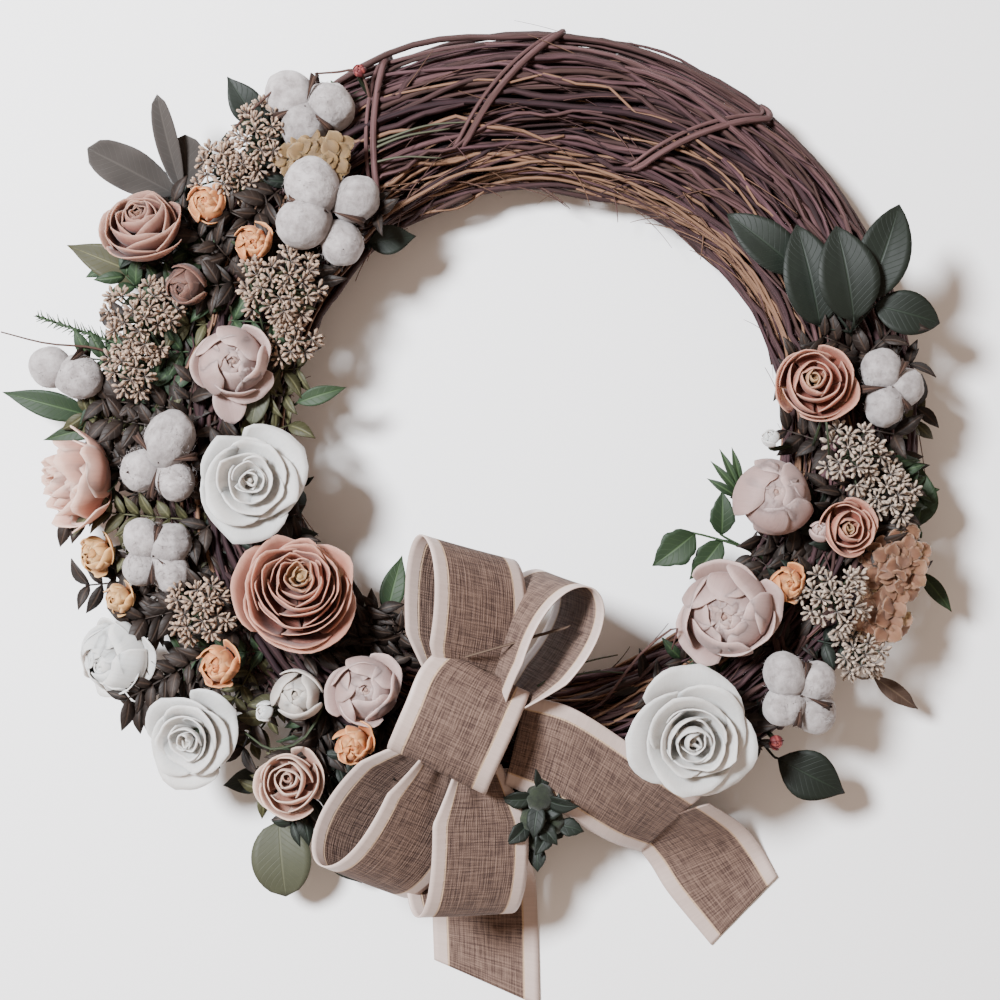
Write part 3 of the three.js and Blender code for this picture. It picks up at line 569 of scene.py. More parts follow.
@dataclass(frozen=True)
class Burlap:
    """Wired jute ribbon: an open plain weave, matt and slubbed, between two satin borders."""

    name: str = "burlap_ribbon"
    slot: Slot = Slot.RIBBON
    thread: str = "745d51"
    shadow: str = "3c2a24"
    satin: str = "b7a39a"
    gold: str = "b3977c"
    pitch: float = 1.5
    jute_half_width: float = 22.5

    @cache
    def material(self) -> bpy.types.Material:
        """Makes it. Jute threads stand 1.5 mm apart, coarser than real ones, so that they show.

        Returns:
            The material.
        """
        shader = Shader(self.name)
        node = shader.node
        uv = node(UV_MAP, {}, uv_map="UVMap")[0]
        wander = node(NOISE, {"Vector": uv, "Scale": 0.12, "Detail": 3.0})[1]
        bent = node(VECTOR, {0: wander, 1: (1.6, 1.6, 0.0), 2: uv}, operation="MULTIPLY_ADD")[0]
        parts = node(SPLIT, {0: bent})
        rises, streaks = [], []
        for axis, stretch in ((0, (1.0, 0.07, 1.0)), (1, (0.07, 1.0, 1.0))):
            turn = node(MATH, {0: parts[axis], 1: math.pi / self.pitch}, operation="MULTIPLY")[0]
            wave = node(MATH, {0: turn}, operation="SINE")[0]
            rises.append(node(MATH, {0: wave}, operation="ABSOLUTE")[0])
            spread = node(VECTOR, {0: uv, 1: stretch}, operation="MULTIPLY")[0]
            streaks.append(node(NOISE, {"Vector": spread, "Scale": 0.8, "Detail": 4.0})[0])
        weave = node(MATH, {0: rises[0], 1: rises[1]}, operation="MULTIPLY")[0]
        streak = node(MATH, {0: streaks[0], 1: streaks[1]}, operation="ADD")[0]
        slub = node(RANGE, {0: streak, 1: 0.78, 2: 1.22})[0]
        raised = node(MATH, {0: weave, 1: 0.45, 2: slub}, operation="MULTIPLY_ADD")[0]
        share = node(RANGE, {0: raised, 1: 0.1, 2: 1.2})[0]
        jute = node(MIX, {0: share, 6: linear(self.shadow), 7: linear(self.thread)}, **RGBA)[2]
        out = node(MATH, {0: node(SPLIT, {0: uv})[0]}, operation="ABSOLUTE")[0]
        inner = self.jute_half_width
        in_border = node(RANGE, {0: out, 1: inner - 0.3, 2: inner + 0.3})[0]
        past_line = node(RANGE, {0: out, 1: inner + 0.8, 2: inner + 1.3})[0]
        lined = node(MIX, {0: in_border, 6: jute, 7: linear(self.gold)}, **RGBA)[2]
        sheen = node(RANGE, {0: streaks[1], 1: 0.3, 2: 0.7, 3: 0.92, 4: 1.03})[0]
        satin = node(MIX, {0: 1.0, 6: linear(self.satin), 7: sheen}, **TIMES)[2]
        cloth = node(MIX, {0: past_line, 2: raised, 3: 0.8}, data_type="FLOAT")[0]
        fills = {
            "Base Color": node(MIX, {0: past_line, 6: lined, 7: satin}, **RGBA)[2],
            "Roughness": node(RANGE, {0: past_line, 3: 0.9, 4: 0.5})[0],
        }
        return shader.finish(fills, {"Strength": 0.6, "Distance": 0.0006, "Height": cloth})


@dataclass(frozen=True)
class Fluff:
    """Cotton fibre or dried flower heads: very matt, with light and shade in small lumps."""

    name: str
    slot: Slot
    light: str
    shade: str
    lump: float
    glow: float = 0.15
    depth: float = 0.0008

    @cache
    def material(self) -> bpy.types.Material:
        """Makes it: lumps of the given size in mm, with fine fibre bump over them.

        Returns:
            The material.
        """
        shader = Shader(self.name)
        node = shader.node
        tone, chance, _, _ = shader.shade()
        place = node(PLACE, {})["Object"]
        scale = 500.0 / self.lump
        lumps = node(NOISE, {"Vector": place, "Scale": scale, "Detail": 6.0, "Roughness": 0.68})[0]
        mixed = node(RANGE, {0: lumps, 1: 0.3, 2: 0.62})[0]
        shade = linear(self.shade)
        body = node(MIX, {0: mixed, 6: shade, 7: linear(self.light)}, **RGBA)[2]
        own = node(RANGE, {0: chance, 3: 0.8, 4: 1.08})[0]
        varied = node(MIX, {0: 1.0, 6: body, 7: own}, **TIMES)[2]
        fills = {
            # tone paints shade: the cotton's clefts and undersides and the filler buds' bases take the shade
            # colour.
            "Base Color": node(MIX, {0: tone, 6: varied, 7: shade}, **RGBA)[2],
            "Roughness": 0.96,
            "Sheen Weight": 0.15,
            "Subsurface Weight": self.glow,
            "Subsurface Radius": (0.004, 0.004, 0.004),
            "Subsurface Scale": 1.0,
        }
        return shader.finish(fills, {"Strength": 0.7, "Distance": self.depth, "Height": lumps})


# Each silk's colours are body, lip, heart, fold and deep. Deep is the shading painted at the petal bases.
FINISHES = {
    "white": SilkPetal("silk_white", Slot.WHITE, "bcb9b5", "c5c2be", "c9c2ba", "b6b3af", "cac7c3", 0.12),
    "cream": SilkPetal("silk_cream", Slot.WHITE, "a89e96", "b5ada5", "988a7e", "9d938b", "8d827a", 0.2),
    "blush": SilkPetal("silk_blush", Slot.BLUSH, "9b7e79", "af9791", "8a6b5f", "8e736d", "7c5f58", 0.2),
    "dusty": SilkPetal("silk_dusty_rose", Slot.DUSTY, "82402f", "b08371", "96794f", "713826", "652f22", 0.25),
    "dusty_pale": SilkPetal(
        "silk_pale_rose", Slot.DUSTY, "a57968", "c6a999", "7a5241", "916858", "74493b", 0.2
    ),
    "dusty_deep": SilkPetal(
        "silk_deep_rose", Slot.DUSTY, "63302a", "94705f", "5c3a2b", "57291f", "472019", 0.25
    ),
    "old_pink": SilkPetal("silk_old_pink", Slot.DUSTY, "b37f6d", "d0ae9f", "966a58", "a06f60", "805142", 0.2),
    "rosewood": SilkPetal("silk_rosewood", Slot.DUSTY, "4c2920", "6d4c3f", "371c15", "40221a", "2f1611"),
    "orange": SilkPetal("silk_orange", Slot.ORANGE, "bd713a", "c98b5d", "b05e2b", "b06332", "8f4a26", 0.3),
    "gold": SilkPetal("silk_gold", Slot.GOLD, "bb8146", "c79a68", "9e6631", "a9723c", "7f4c24", 0.3),
    "maize": SilkPetal("silk_maize", Slot.HYDRANGEA_GOLD, "6d5330", "8a6c42", "4c3a1b", "5c4528", "40311a"),
    "tan": SilkPetal("silk_tan", Slot.HYDRANGEA_PEACH, "6d4630", "8d6a50", "4c2f1e", "563624", "36201a"),
    "dark": PressedLeaf("leaf_dark_green", Slot.LEAF_DARK, "1a221a", "0e140f", "1f281f", "121812"),
    # Near-black leaves: partly real dark foliage, partly painted shade in the gaps between blooms.
    "deep": PressedLeaf("leaf_olive_black", Slot.LEAF_DARK, "30231c", "120d0b", "36281f", "1f1713"),
    "green": PressedLeaf("leaf_mid_green", Slot.LEAF_GREEN, "2a3c22", "1a2818", "3a4d30", "213121"),
    "olive": PressedLeaf("leaf_olive", Slot.LEAF_GREEN, "4c4a2e", "2e2d1c", "58563a", "3d3c27"),
    "stem": PressedLeaf("stem_green", Slot.LEAF_GREEN, "313a27", "1d2318", "3b442c", "262f1e"),
    "grey": PressedLeaf("leaf_lambs_ear", Slot.LEAF_GREY, "3b3531", "2c2825", "3e3935", "3d3734", 0.9, 0.4),
    "eucalyptus": PressedLeaf("leaf_eucalyptus", Slot.LEAF_GREY, "454735", "38392c", "50513f", "3f4032"),
    "dried": PressedLeaf("leaf_dried", Slot.LEAF_DRIED, "4d3b30", "33241d", "5e4d3f", "413228", 0.75),
    "husk": PressedLeaf("cotton_husk", Slot.LEAF_DRIED, "39261d", "20130f", "4d372c", "2c1f1a", 0.8),
    "red": PressedLeaf("dried_red", Slot.LEAF_DRIED, "6d2a2b", "471b1f", "8a423d", "592225"),
    "bark": VineBark(),
    "burlap": Burlap(),
    "cotton": Fluff("cotton_fibre", Slot.COTTON, "a8a1a0", "7a7270", 3.4, 0.35, 0.0016),
    "filler": Fluff("dried_filler", Slot.FILLER, "c6a58a", "3a2822", 1.6),
    "filler_pale": Fluff("dried_filler_pale", Slot.FILLER, "ccb5a0", "3d302a", 1.6),
    "seed": Fluff("seed_head_green", Slot.SEED_HEADS, "232b1a", "11160d", 2.0, 0.1),
}


class Cluster:
    """Gathers shaped copies of templates into one mesh.

    Each point carries a UV place in mm and a shade: its tone, a chance number of its copy,
    its stage from the heart outwards, and how open to the light it is.
    """

    def __init__(self) -> None:
        """Starts with nothing in it."""
        self.copies: list[tuple[Array, ...]] = []
        self.point_count = 0
        self.loop_count = 0

    def add(
        self,
        template: Template,
        points: Array,
        uv: Array,
        tone: Array | float,
        chance: float,
        stage: float = 0.0,
        open_to: Array | float = 1.0,
    ) -> None:
        """Adds one shaped copy of a template.

        Args:
            template: The mesh that is copied.
            points: Its points in their place, mm.
            uv: The UV place of each point, mm.
            tone: The tone of each point, or of all.
            chance: The copy's chance number, 0 to 1.
            stage: Where the copy stands from the heart outwards, 0 to 1.
            open_to: How open to the light each point is, 0 to 1.
        """
        shade = np.zeros((len(points), 4))
        for column, value in enumerate((tone, chance, stage, open_to)):
            shade[:, column] = value
        loops, starts = template.loops + self.point_count, template.starts + self.loop_count
        self.copies.append((points, loops, starts, uv[template.loops], shade))
        self.point_count += len(points)
        self.loop_count += len(loops)

    def add_rod(
        self,
        rod: Template,
        path: Path,
        radius: Array | float,
        uv: tuple[float, float],
        tone: float,
        chance: float,
    ) -> None:
        """Adds a rod bent along a path.

        Args:
            rod: The rod template.
            path: Gives the places of an array of shares of the length.
            radius: The radius of each point in mm, or of all.
            uv: The UV map's reach across and along it, mm.
            tone: Its tone.
            chance: Its chance number.
        """
        flat = np.stack([rod.points[:, 0] * uv[0], rod.share * uv[1]], axis=1)
        self.add(rod, along_path(rod, path, radius), flat, tone, chance)

    def settle(
        self, name: str, finish: str, replaces: Iterable[str] = (), slot: Slot | None = None
    ) -> bpy.types.Object:
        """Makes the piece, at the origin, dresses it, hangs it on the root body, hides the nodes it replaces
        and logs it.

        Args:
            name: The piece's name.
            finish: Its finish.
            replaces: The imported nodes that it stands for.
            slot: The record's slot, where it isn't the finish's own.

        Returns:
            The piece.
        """
        points, loops, starts, uvs, shades = (np.concatenate(part) for part in zip(*self.copies))
        mesh = bpy.data.meshes.new(name)
        mesh.vertices.add(len(points))
        mesh.loops.add(len(loops))
        mesh.polygons.add(len(starts))
        mesh.vertices.foreach_set("co", ((points + RING_CENTRE) * METRES).ravel())
        mesh.loops.foreach_set("vertex_index", loops)
        mesh.polygons.foreach_set("loop_start", starts)
        mesh.update(calc_edges=True)
        mesh.uv_layers.new(name="UVMap").data.foreach_set("uv", uvs.ravel())
        shade = mesh.color_attributes.new(name="shade", type="FLOAT_COLOR", domain="POINT")
        shade.data.foreach_set("color", shades.ravel())
        mesh.polygons.foreach_set("use_smooth", np.ones(len(starts), dtype=bool))
        mesh.validate()
        mesh.materials.append(FINISHES[finish].material())
        piece = bpy.data.objects.new(name, mesh)
        bpy.context.scene.collection.objects.link(piece)
        slot = slot or FINISHES[finish].slot
        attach(piece, "root")
        if replaces:
            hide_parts(*replaces)
        log.info("%s: %d triangles, slot %s", name, len(loops) - 2 * len(starts), slot.value)
        return piece


@dataclass
class VineRing:
    """The bundle of grapevine canes with its bindings."""

    seed: int = 12
    canes: int = 300
    thin: float = 0.8
    thick: float = 2.1
    core_canes: int = 14
    core_radius: float = 6.5
    loose_ends: int = 190
    slant: float = 8.5
    # How wide the bundle is, as angles on the ring and shares of its half width.
    width_at: tuple[tuple[float, ...], ...] = ((-180, 0, 35, 65, 120, 180), (1, 1, 1.04, 1.14, 1.18, 1))
    # Each binding's angle on the ring, its drift over the face, its steepness there, and where it sinks.
    bindings: tuple[tuple[float, float, float, float], ...] = (
        (94.6, 4.0, 13.2, 108),
        (63.6, -1.2, 10.8, 122),
        (119.8, 0, 8.2, 122),
        (215.0, 0, 8.5, 178),
        (318.0, 0, 8.5, 178),
    )

    def place(self, around: Array, section: Array, share: Array, least: float) -> Array:
        """Places on the bundle.

        Args:
            around: Angles round the ring, in radians.
            section: Angles round the bundle, in radians from its outside.
            share: How far out in the bundle, 1 at its skin.
            least: The lowest height that they may have, in mm.

        Returns:
            The places in mm.
        """
        width = np.interp((np.degrees(around) + 180) % 360 - 180, *self.width_at)
        reach = RING_RADIUS + 12 * (width - 1) + BUNDLE_HALF_WIDTH * width * share * np.cos(section)
        height = np.maximum(RING_HEIGHT + BUNDLE_HALF_DEPTH * share * np.sin(section), least)
        return np.stack([reach * np.cos(around), reach * np.sin(around), height], axis=1)

    def build(self) -> None:
        """Builds the inner and outer canes, the bindings and the loose wisps."""
        rod = rod_template(4, 68)
        source = np.random.default_rng(self.seed)
        inner, outer, wisps = Cluster(), Cluster(), Cluster()
        for i in range(self.canes):
            deep = i < self.canes * 0.3
            share = source.uniform(0.5, 0.82) if deep else source.uniform(0.84, 1.13)
            section = FULL_TURN * i / self.canes * 7 + source.uniform(-0.3, 0.3)
            self.cane(inner if deep else outer, rod, source, share, section)
        self.core(inner)
        self.bind(outer)
        self.loosen(wisps, source)
        for name, made in (("canes_inner", inner), ("canes_outer", outer), ("wisps", wisps)):
            made.settle(f"vine_{name}", "bark", ["vine_ring"])

    def cane(self, cluster: Cluster, rod: Template, source: Random, share: float, section: float) -> None:
        """Bends one cane round the bundle.

        Args:
            cluster: What it is added to.
            rod: The cane's template.
            source: Seeded random numbers.
            share: How far out in the bundle it lies.
            section: Its starting angle round the bundle, in radians.
        """
        start = source.uniform(0, FULL_TURN)
        span = math.radians(source.uniform(120, 330))
        twist = source.normal(0, 0.7 if source.uniform() < 0.7 else 1.7)
        sway, rate, phase = source.uniform(0.05, 0.26), source.uniform(1.5, 6), source.uniform(0, 6.28)
        heave, beat, offset = source.uniform(0.01, 0.06), source.uniform(3, 11), source.uniform(0, 6.28)
        radius = self.thin + (self.thick - self.thin) * source.uniform() ** 1.9
        knuckle = source.uniform(0, 1)
        stray, lift = source.uniform(0.15, 0.85), source.uniform(0.12, 0.26) * (source.uniform() < 0.2)
        kinks = source.normal(0, 0.06, 36)

        def path(t: Array) -> Array:
            """The cane's middle line.

            Args:
                t: Shares of its length.

            Returns:
                The places in mm.
            """
            angle = section + twist * t + sway * np.sin(rate * span * t + phase)
            angle = angle + np.interp(t, np.linspace(0, 1, len(kinks)), kinks)
            depth = share + heave * np.sin(beat * span * t + offset)
            depth = depth + lift * np.exp(-(((t - stray) / 0.07) ** 2))
            return self.place(start + span * t, angle, depth, radius + 0.1)

        x, y, t = rod.points.T
        joints = np.exp(-(((t * span * RING_RADIUS / 74 + knuckle) % 1 - 0.5) ** 2) / 0.003)
        size = radius * (0.72 + 0.28 * np.minimum(1, 12 * np.minimum(t, 1 - t))) * (1 + 0.3 * joints)
        uv = np.stack([np.arctan2(y, x) * radius, t * span * RING_RADIUS], axis=1)
        low_inside = math.cos(section) < -0.55
        tanned = source.uniform() < (0.45 if low_inside else 0.02)
        tone = 0.75 if tanned and radius < 1.5 else float(source.uniform(0, 0.12))
        # Painted shade: canes deep in the bundle take low numbers and so darker bark. Outer canes take random
        # wear.
        wear_and_depth_shade = source.uniform(0, 0.25) if share < 0.83 else source.uniform(0.05, 1) ** 1.8
        cluster.add(rod, along_path(rod, path, size), uv, tone, wear_and_depth_shade)

    def core(self, cluster: Cluster) -> None:
        """Fills the bundle's middle with thick canes, painted the darkest bark as shade deep in the bundle.

        Args:
            cluster: What they are added to.
        """
        rod = rod_template(8, 60)
        turns = FULL_TURN * 0.999
        for i in range(self.core_canes):

            def path(t: Array, a: float = i * GOLDEN_ANGLE, s: float = 0.22 + 0.34 * (i % 3) / 2) -> Array:
                """The middle line of a thick cane."""
                return self.place(turns * t + a, a + 0.6 * np.sin(3 * t * turns), s + 0 * t, 8.0)

            # Chance 0 gives the core the darkest bark, as painted shade.
            cluster.add_rod(rod, path, self.core_radius, (8, 1100), 0.0, 0.0)

    def bind(self, cluster: Cluster) -> None:
        """Winds the bindings round the bundle, each a thick cane with a thinner one beside it.

        Args:
            cluster: What they are added to.
        """
        rod = rod_template(6, 72)
        x, y, t = rod.points.T
        for index, (middle, drift, steep, sink) in enumerate(self.bindings):
            for beside, radius, out in ((0.0, 2.1, 1.18), (0.8, 1.3, 1.15)):

                def path(share: Array) -> Array:
                    """The binding's middle line.

                    Args:
                        share: Shares of its length.

                    Returns:
                        The places in mm.
                    """
                    angle = FULL_TURN * share * 1.04
                    face = np.clip(2 * np.sin(angle), 0, 1)
                    lean = self.slant + (steep - self.slant) * face
                    around = np.radians(middle + beside + drift * face - lean * np.cos(angle + 0.1 * beside))
                    under = [0, sink, sink + 24, 200, 250]
                    dive = np.interp(np.degrees(angle) % 360, under, [0, 0, 0.42, 0.42, 0])
                    return self.place(around, angle, out - dive, radius + 0.1)

                uv = np.stack([np.arctan2(y, x) * radius, t * 230], axis=1)
                cluster.add(rod, along_path(rod, path, radius), uv, 0.12, (0.75 + 0.1 * index) % 1)

    def loosen(self, cluster: Cluster, source: Random) -> None:
        """Lets thin cane ends and tendrils stand a little off the bundle.

        Args:
            cluster: What they are added to.
            source: Seeded random numbers.
        """
        rod = rod_template(3, 16)
        for k in range(self.loose_ends):
            start = source.uniform(-0.4, 2.2) if k % 3 else source.uniform(0, FULL_TURN)
            span = source.uniform(0.06, 0.42) * source.choice([-1, 1])
            inside = (math.pi - 0.9, math.pi + 0.25)
            section = source.uniform(*inside) if k % 2 else source.uniform(-0.4, math.pi)
            leave = source.uniform(0.05, 0.4)
            sway = source.uniform(-0.5, 0.5)
            radius = source.uniform(0.3, 0.75)

            def path(share: Array) -> Array:
                """The wisp's middle line, leaving the bundle towards its tip."""
                depth = 1.0 + leave * share**1.5
                return self.place(start + span * share, section + sway * share, depth, radius + 0.1)

            reach = (radius, abs(span) * RING_RADIUS)
            tone, chance = float(source.uniform(0, 0.6)), source.uniform()
            cluster.add_rod(rod, path, radius * (1.1 - 0.7 * rod.share), reach, tone, chance)


class Outline(Enum):
    """Leaf outlines, as the powers of their width along the blade."""

    OVATE = (0.9, 1.24)
    ROUND = (0.55, 0.6)
    LONG = (0.6, 0.5)
    LANCE = (1.0, 1.2)
    BROAD = (0.68, 0.86)


@dataclass(frozen=True)
class Leaf:
    """One leaf blade from its base to its tip, sizes in mm."""

    base: Point
    tip: Point
    width: float
    outline: Outline = Outline.OVATE
    arch: float = 0.1
    fold: float = 0.22
    wave: float = 0.0
    roll: float = 0.0
    teeth: float = 0.0
    thickness: float = 0.6

    def add_to(self, cluster: Cluster, template: Template, chance: float, stage: float = 0.0) -> None:
        """Adds the blade to a cluster.

        Args:
            cluster: What it is added to.
            template: The sheet template it is wrapped on.
            chance: The blade's chance number.
            stage: The blade's stage from the heart outwards, where it is a petal.
        """
        start, end = np.array(self.base, float), np.array(self.tip, float)
        along = end - start
        length = float(np.linalg.norm(along))
        ahead = along / length
        side = unit(np.cross(ahead, UP)) if abs(ahead[2]) < 0.97 else np.array([1.0, 0.0, 0.0])
        lift = np.cross(side, ahead)
        a = math.radians(self.roll)
        side, lift = side * math.cos(a) + lift * math.sin(a), lift * math.cos(a) - side * math.sin(a)
        p, q = self.outline.value
        peak = (p / (p + q)) ** p * (q / (p + q)) ** q

        def place(u: Array, v: Array) -> Array:
            """Places of the blade.

            Args:
                u: Places across it, -1 to 1.
                v: Places along it, 0 to 1.

            Returns:
                The places in mm.
            """
            share = np.clip(v, 0.0, 1.0)
            half = 0.5 * self.width * np.maximum(share**p * (1 - share) ** q / peak, 0.02)
            half = half * (1 + self.teeth * (np.abs(np.sin(share * length * 0.9)) - 0.5) * np.abs(u))
            rise = self.arch * length * 4 * share * (1 - share)
            rise = rise + self.fold * np.abs(u) * half + self.wave * np.sin(share * 14 + u * 1.4) * np.abs(u)
            across = side * (u * half * (1 - 0.12 * self.fold))[:, None]
            return start + along * v[:, None] + across + lift * rise[:, None]

        u, v, _ = template.points.T
        uv = np.stack([u * self.width / 2, v * length], axis=1)
        cluster.add(template, wrap(template, place, self.thickness), uv, 0.6 * np.abs(u) ** 5, chance, stage)


@dataclass(frozen=True)
class LeafSpray:
    """The leaves of one node, on stalks from one joint."""

    node: str
    finish: str
    joint: Point
    leaves: tuple[Leaf, ...]

    def build(self, blade: Template, rod: Template, seed: int) -> None:
        """Builds the blades and their stalks as one piece.

        Args:
            blade: The sheet template of the blades.
            rod: The rod template of the stalks.
            seed: What makes this spray differ from the next.
        """
        source = np.random.default_rng(seed)
        made = Cluster()
        for leaf in self.leaves:
            leaf.add_to(made, blade, source.uniform(0.3, 1.0))
            base, tip = np.array(leaf.base), np.array(leaf.tip)
            path = bezier([ring_under(self.joint), self.joint, base, base + 0.12 * (tip - base)])
            made.add_rod(rod, path, 1.0 - 0.4 * rod.share, (3, 20), 0.3, source.uniform())
        made.settle(f"{self.node}_blades", self.finish, [self.node])


SPRAYS = (
    LeafSpray("sprig_right", "green", (124, -42, 50), (
        Leaf((117, -40, 54), (99, -29, 56), 5.5, Outline.LANCE, 0.16),
        Leaf((118, -38, 55), (101, -19, 58), 5, Outline.LANCE, 0.14),
        Leaf((118, -36, 55), (106, -12, 59), 5, Outline.LANCE, 0.12),
        Leaf((119, -34, 55), (113, -11, 60), 5, Outline.LANCE, 0.1),
    )),
    LeafSpray("leaf_top", "dark", (-158, 171, 33), (Leaf((-162, 179, 35), (-181, 207, 42), 20),)),
    LeafSpray("leaves_lambs_ear", "grey", (-207, 132, 38), (
        Leaf((-212, 138, 40), (-262, 164, 46), 26, Outline.LONG, wave=2.0),
        Leaf((-208, 140, 42), (-220, 194, 54), 14, Outline.LONG, fold=0.5),
        Leaf((-204, 138, 40), (-205, 172, 46), 24, Outline.LONG, wave=1.2),
    )),
    LeafSpray("leaf_olive", "olive", (-222, 86, 36), (Leaf((-226, 88, 38), (-275, 108, 42), 21),)),
    LeafSpray("leaves_far_left", "green", (-240, 8, 32), (
        Leaf((-262, 8, 32), (-314, 22, 38), 17),
        Leaf((-250, 4, 30), (-292, -6, 30), 12),
    )),
    LeafSpray("leaf_inner_left", "green", (-142, 14, 50), (Leaf((-139, 15, 52), (-110, 24, 52), 11),)),
    LeafSpray("leaf_vine_end", "dark", (-98, 106, 46), (Leaf((-98, 108, 46), (-70, 113, 44), 18),)),
    LeafSpray("leaf_eucalyptus", "eucalyptus", (-150, -214, 30), (
        Leaf((-152, -232, 30), (-148, -277, 30), 36, Outline.ROUND, fold=0.08),
    )),
    LeafSpray("leaves_dark_low", "dark", (-150, -192, 26), (
        Leaf((-158, -206, 24), (-186, -212, 24), 16),
        Leaf((-124, -244, 20), (-104, -272, 16), 18),
    )),
    LeafSpray("leaves_rose_top_right", "dark", (181, 55, 62), (
        Leaf((188, 72, 70), (207, 127, 72), 31, Outline.BROAD),
        Leaf((194, 70, 67), (232, 60, 64), 26, Outline.BROAD),
        Leaf((181, 60, 73), (170, 114, 77), 36, Outline.BROAD),
        Leaf((163, 58, 65), (149, 116, 68), 33, Outline.BROAD),
        Leaf((152, 90, 60), (110, 123, 63), 26, Outline.BROAD),
    )),
    LeafSpray("leaves_rose_inner_right", "green", (123, -70, 48), (
        Leaf((93, -61, 50), (68, -80, 50), 21, teeth=0.15),
        Leaf((108, -62, 52), (108, -36, 56), 15, teeth=0.15),
        Leaf((109, -65, 48), (90, -88, 47), 16, teeth=0.15),
    )),
    LeafSpray("leaves_right_edge", "green", (226, -64, 36), (
        Leaf((226, -57, 38), (226, -22, 44), 20),
        Leaf((228, -84, 32), (247, -108, 32), 10),
    )),
    LeafSpray("leaf_dried_low_right", "dried", (190, -146, 34), (
        Leaf((200, -146, 34), (228, -166, 26), 11, wave=1.0),
    )),
    LeafSpray("leaf_low_right", "dark", (138, -190, 42), (Leaf((142, -193, 44), (182, -214, 40), 30),)),
    LeafSpray("leaf_bow_left", "green", (-88, -112, 50), (Leaf((-87, -109, 52), (-78, -74, 48), 15),)),
)

# The loose twigs, grasses and wire stems that the photo shows: finish, radius and route.
LOOSE_TWIGS = (
    ("bark", 0.8, ((-240, 40, 46), (-256.9, 47, 50), (-286, 50, 47), (-313, 56.8, 45))),
    ("bark", 0.9, ((-96, 190, 50), (-102, 206.5, 56), (-116, 206, 57), (-128, 205, 58))),
    ("bark", 0.9, ((30, -165, 50), (39.7, -157, 62), (59, -130, 72), (79, -114, 76), (77.5, -127, 70))),
    ("bark", 0.8, ((-186, 150, 50), (-177, 169, 60), (-157, 188, 66), (-144, 197, 66), (-130, 195, 60))),
    ("stem", 1.2, ((-176, 108, 60), (-169, 101, 72), (-162, 78, 71), (-157, 56, 62))),
    ("dried", 0.7, ((-40, -128, 108), (12, -113, 108), (14, -112, 107), (-14, -120, 104))),
    ("stem", 0.7, ((0, -146, 90), (18.6, -136, 85), (32, -132, 82), (46, -129.5, 78))),
    ("stem", 0.7, ((2, -148, 88), (20, -141, 84), (34, -139, 79), (50, -140, 74))),
    ("stem", 1.0, ((-110, -120, 50), (-128, -172, 66), (-150, -184, 70), (-168, -176, 60))),
    ("stem", 0.9, ((160, -10, 60), (163, 6, 78), (165, -8, 80), (168, -22, 66))),
    ("eucalyptus", 0.9, ((-97, 161, 55), (-76, 169, 57), (-50, 174, 54))),
    ("eucalyptus", 0.8, ((-99, 153, 54), (-78, 157, 57), (-55, 157, 54))),
    ("eucalyptus", 0.8, ((-92, 166, 55), (-64, 175, 57), (-38, 178, 54))),
)


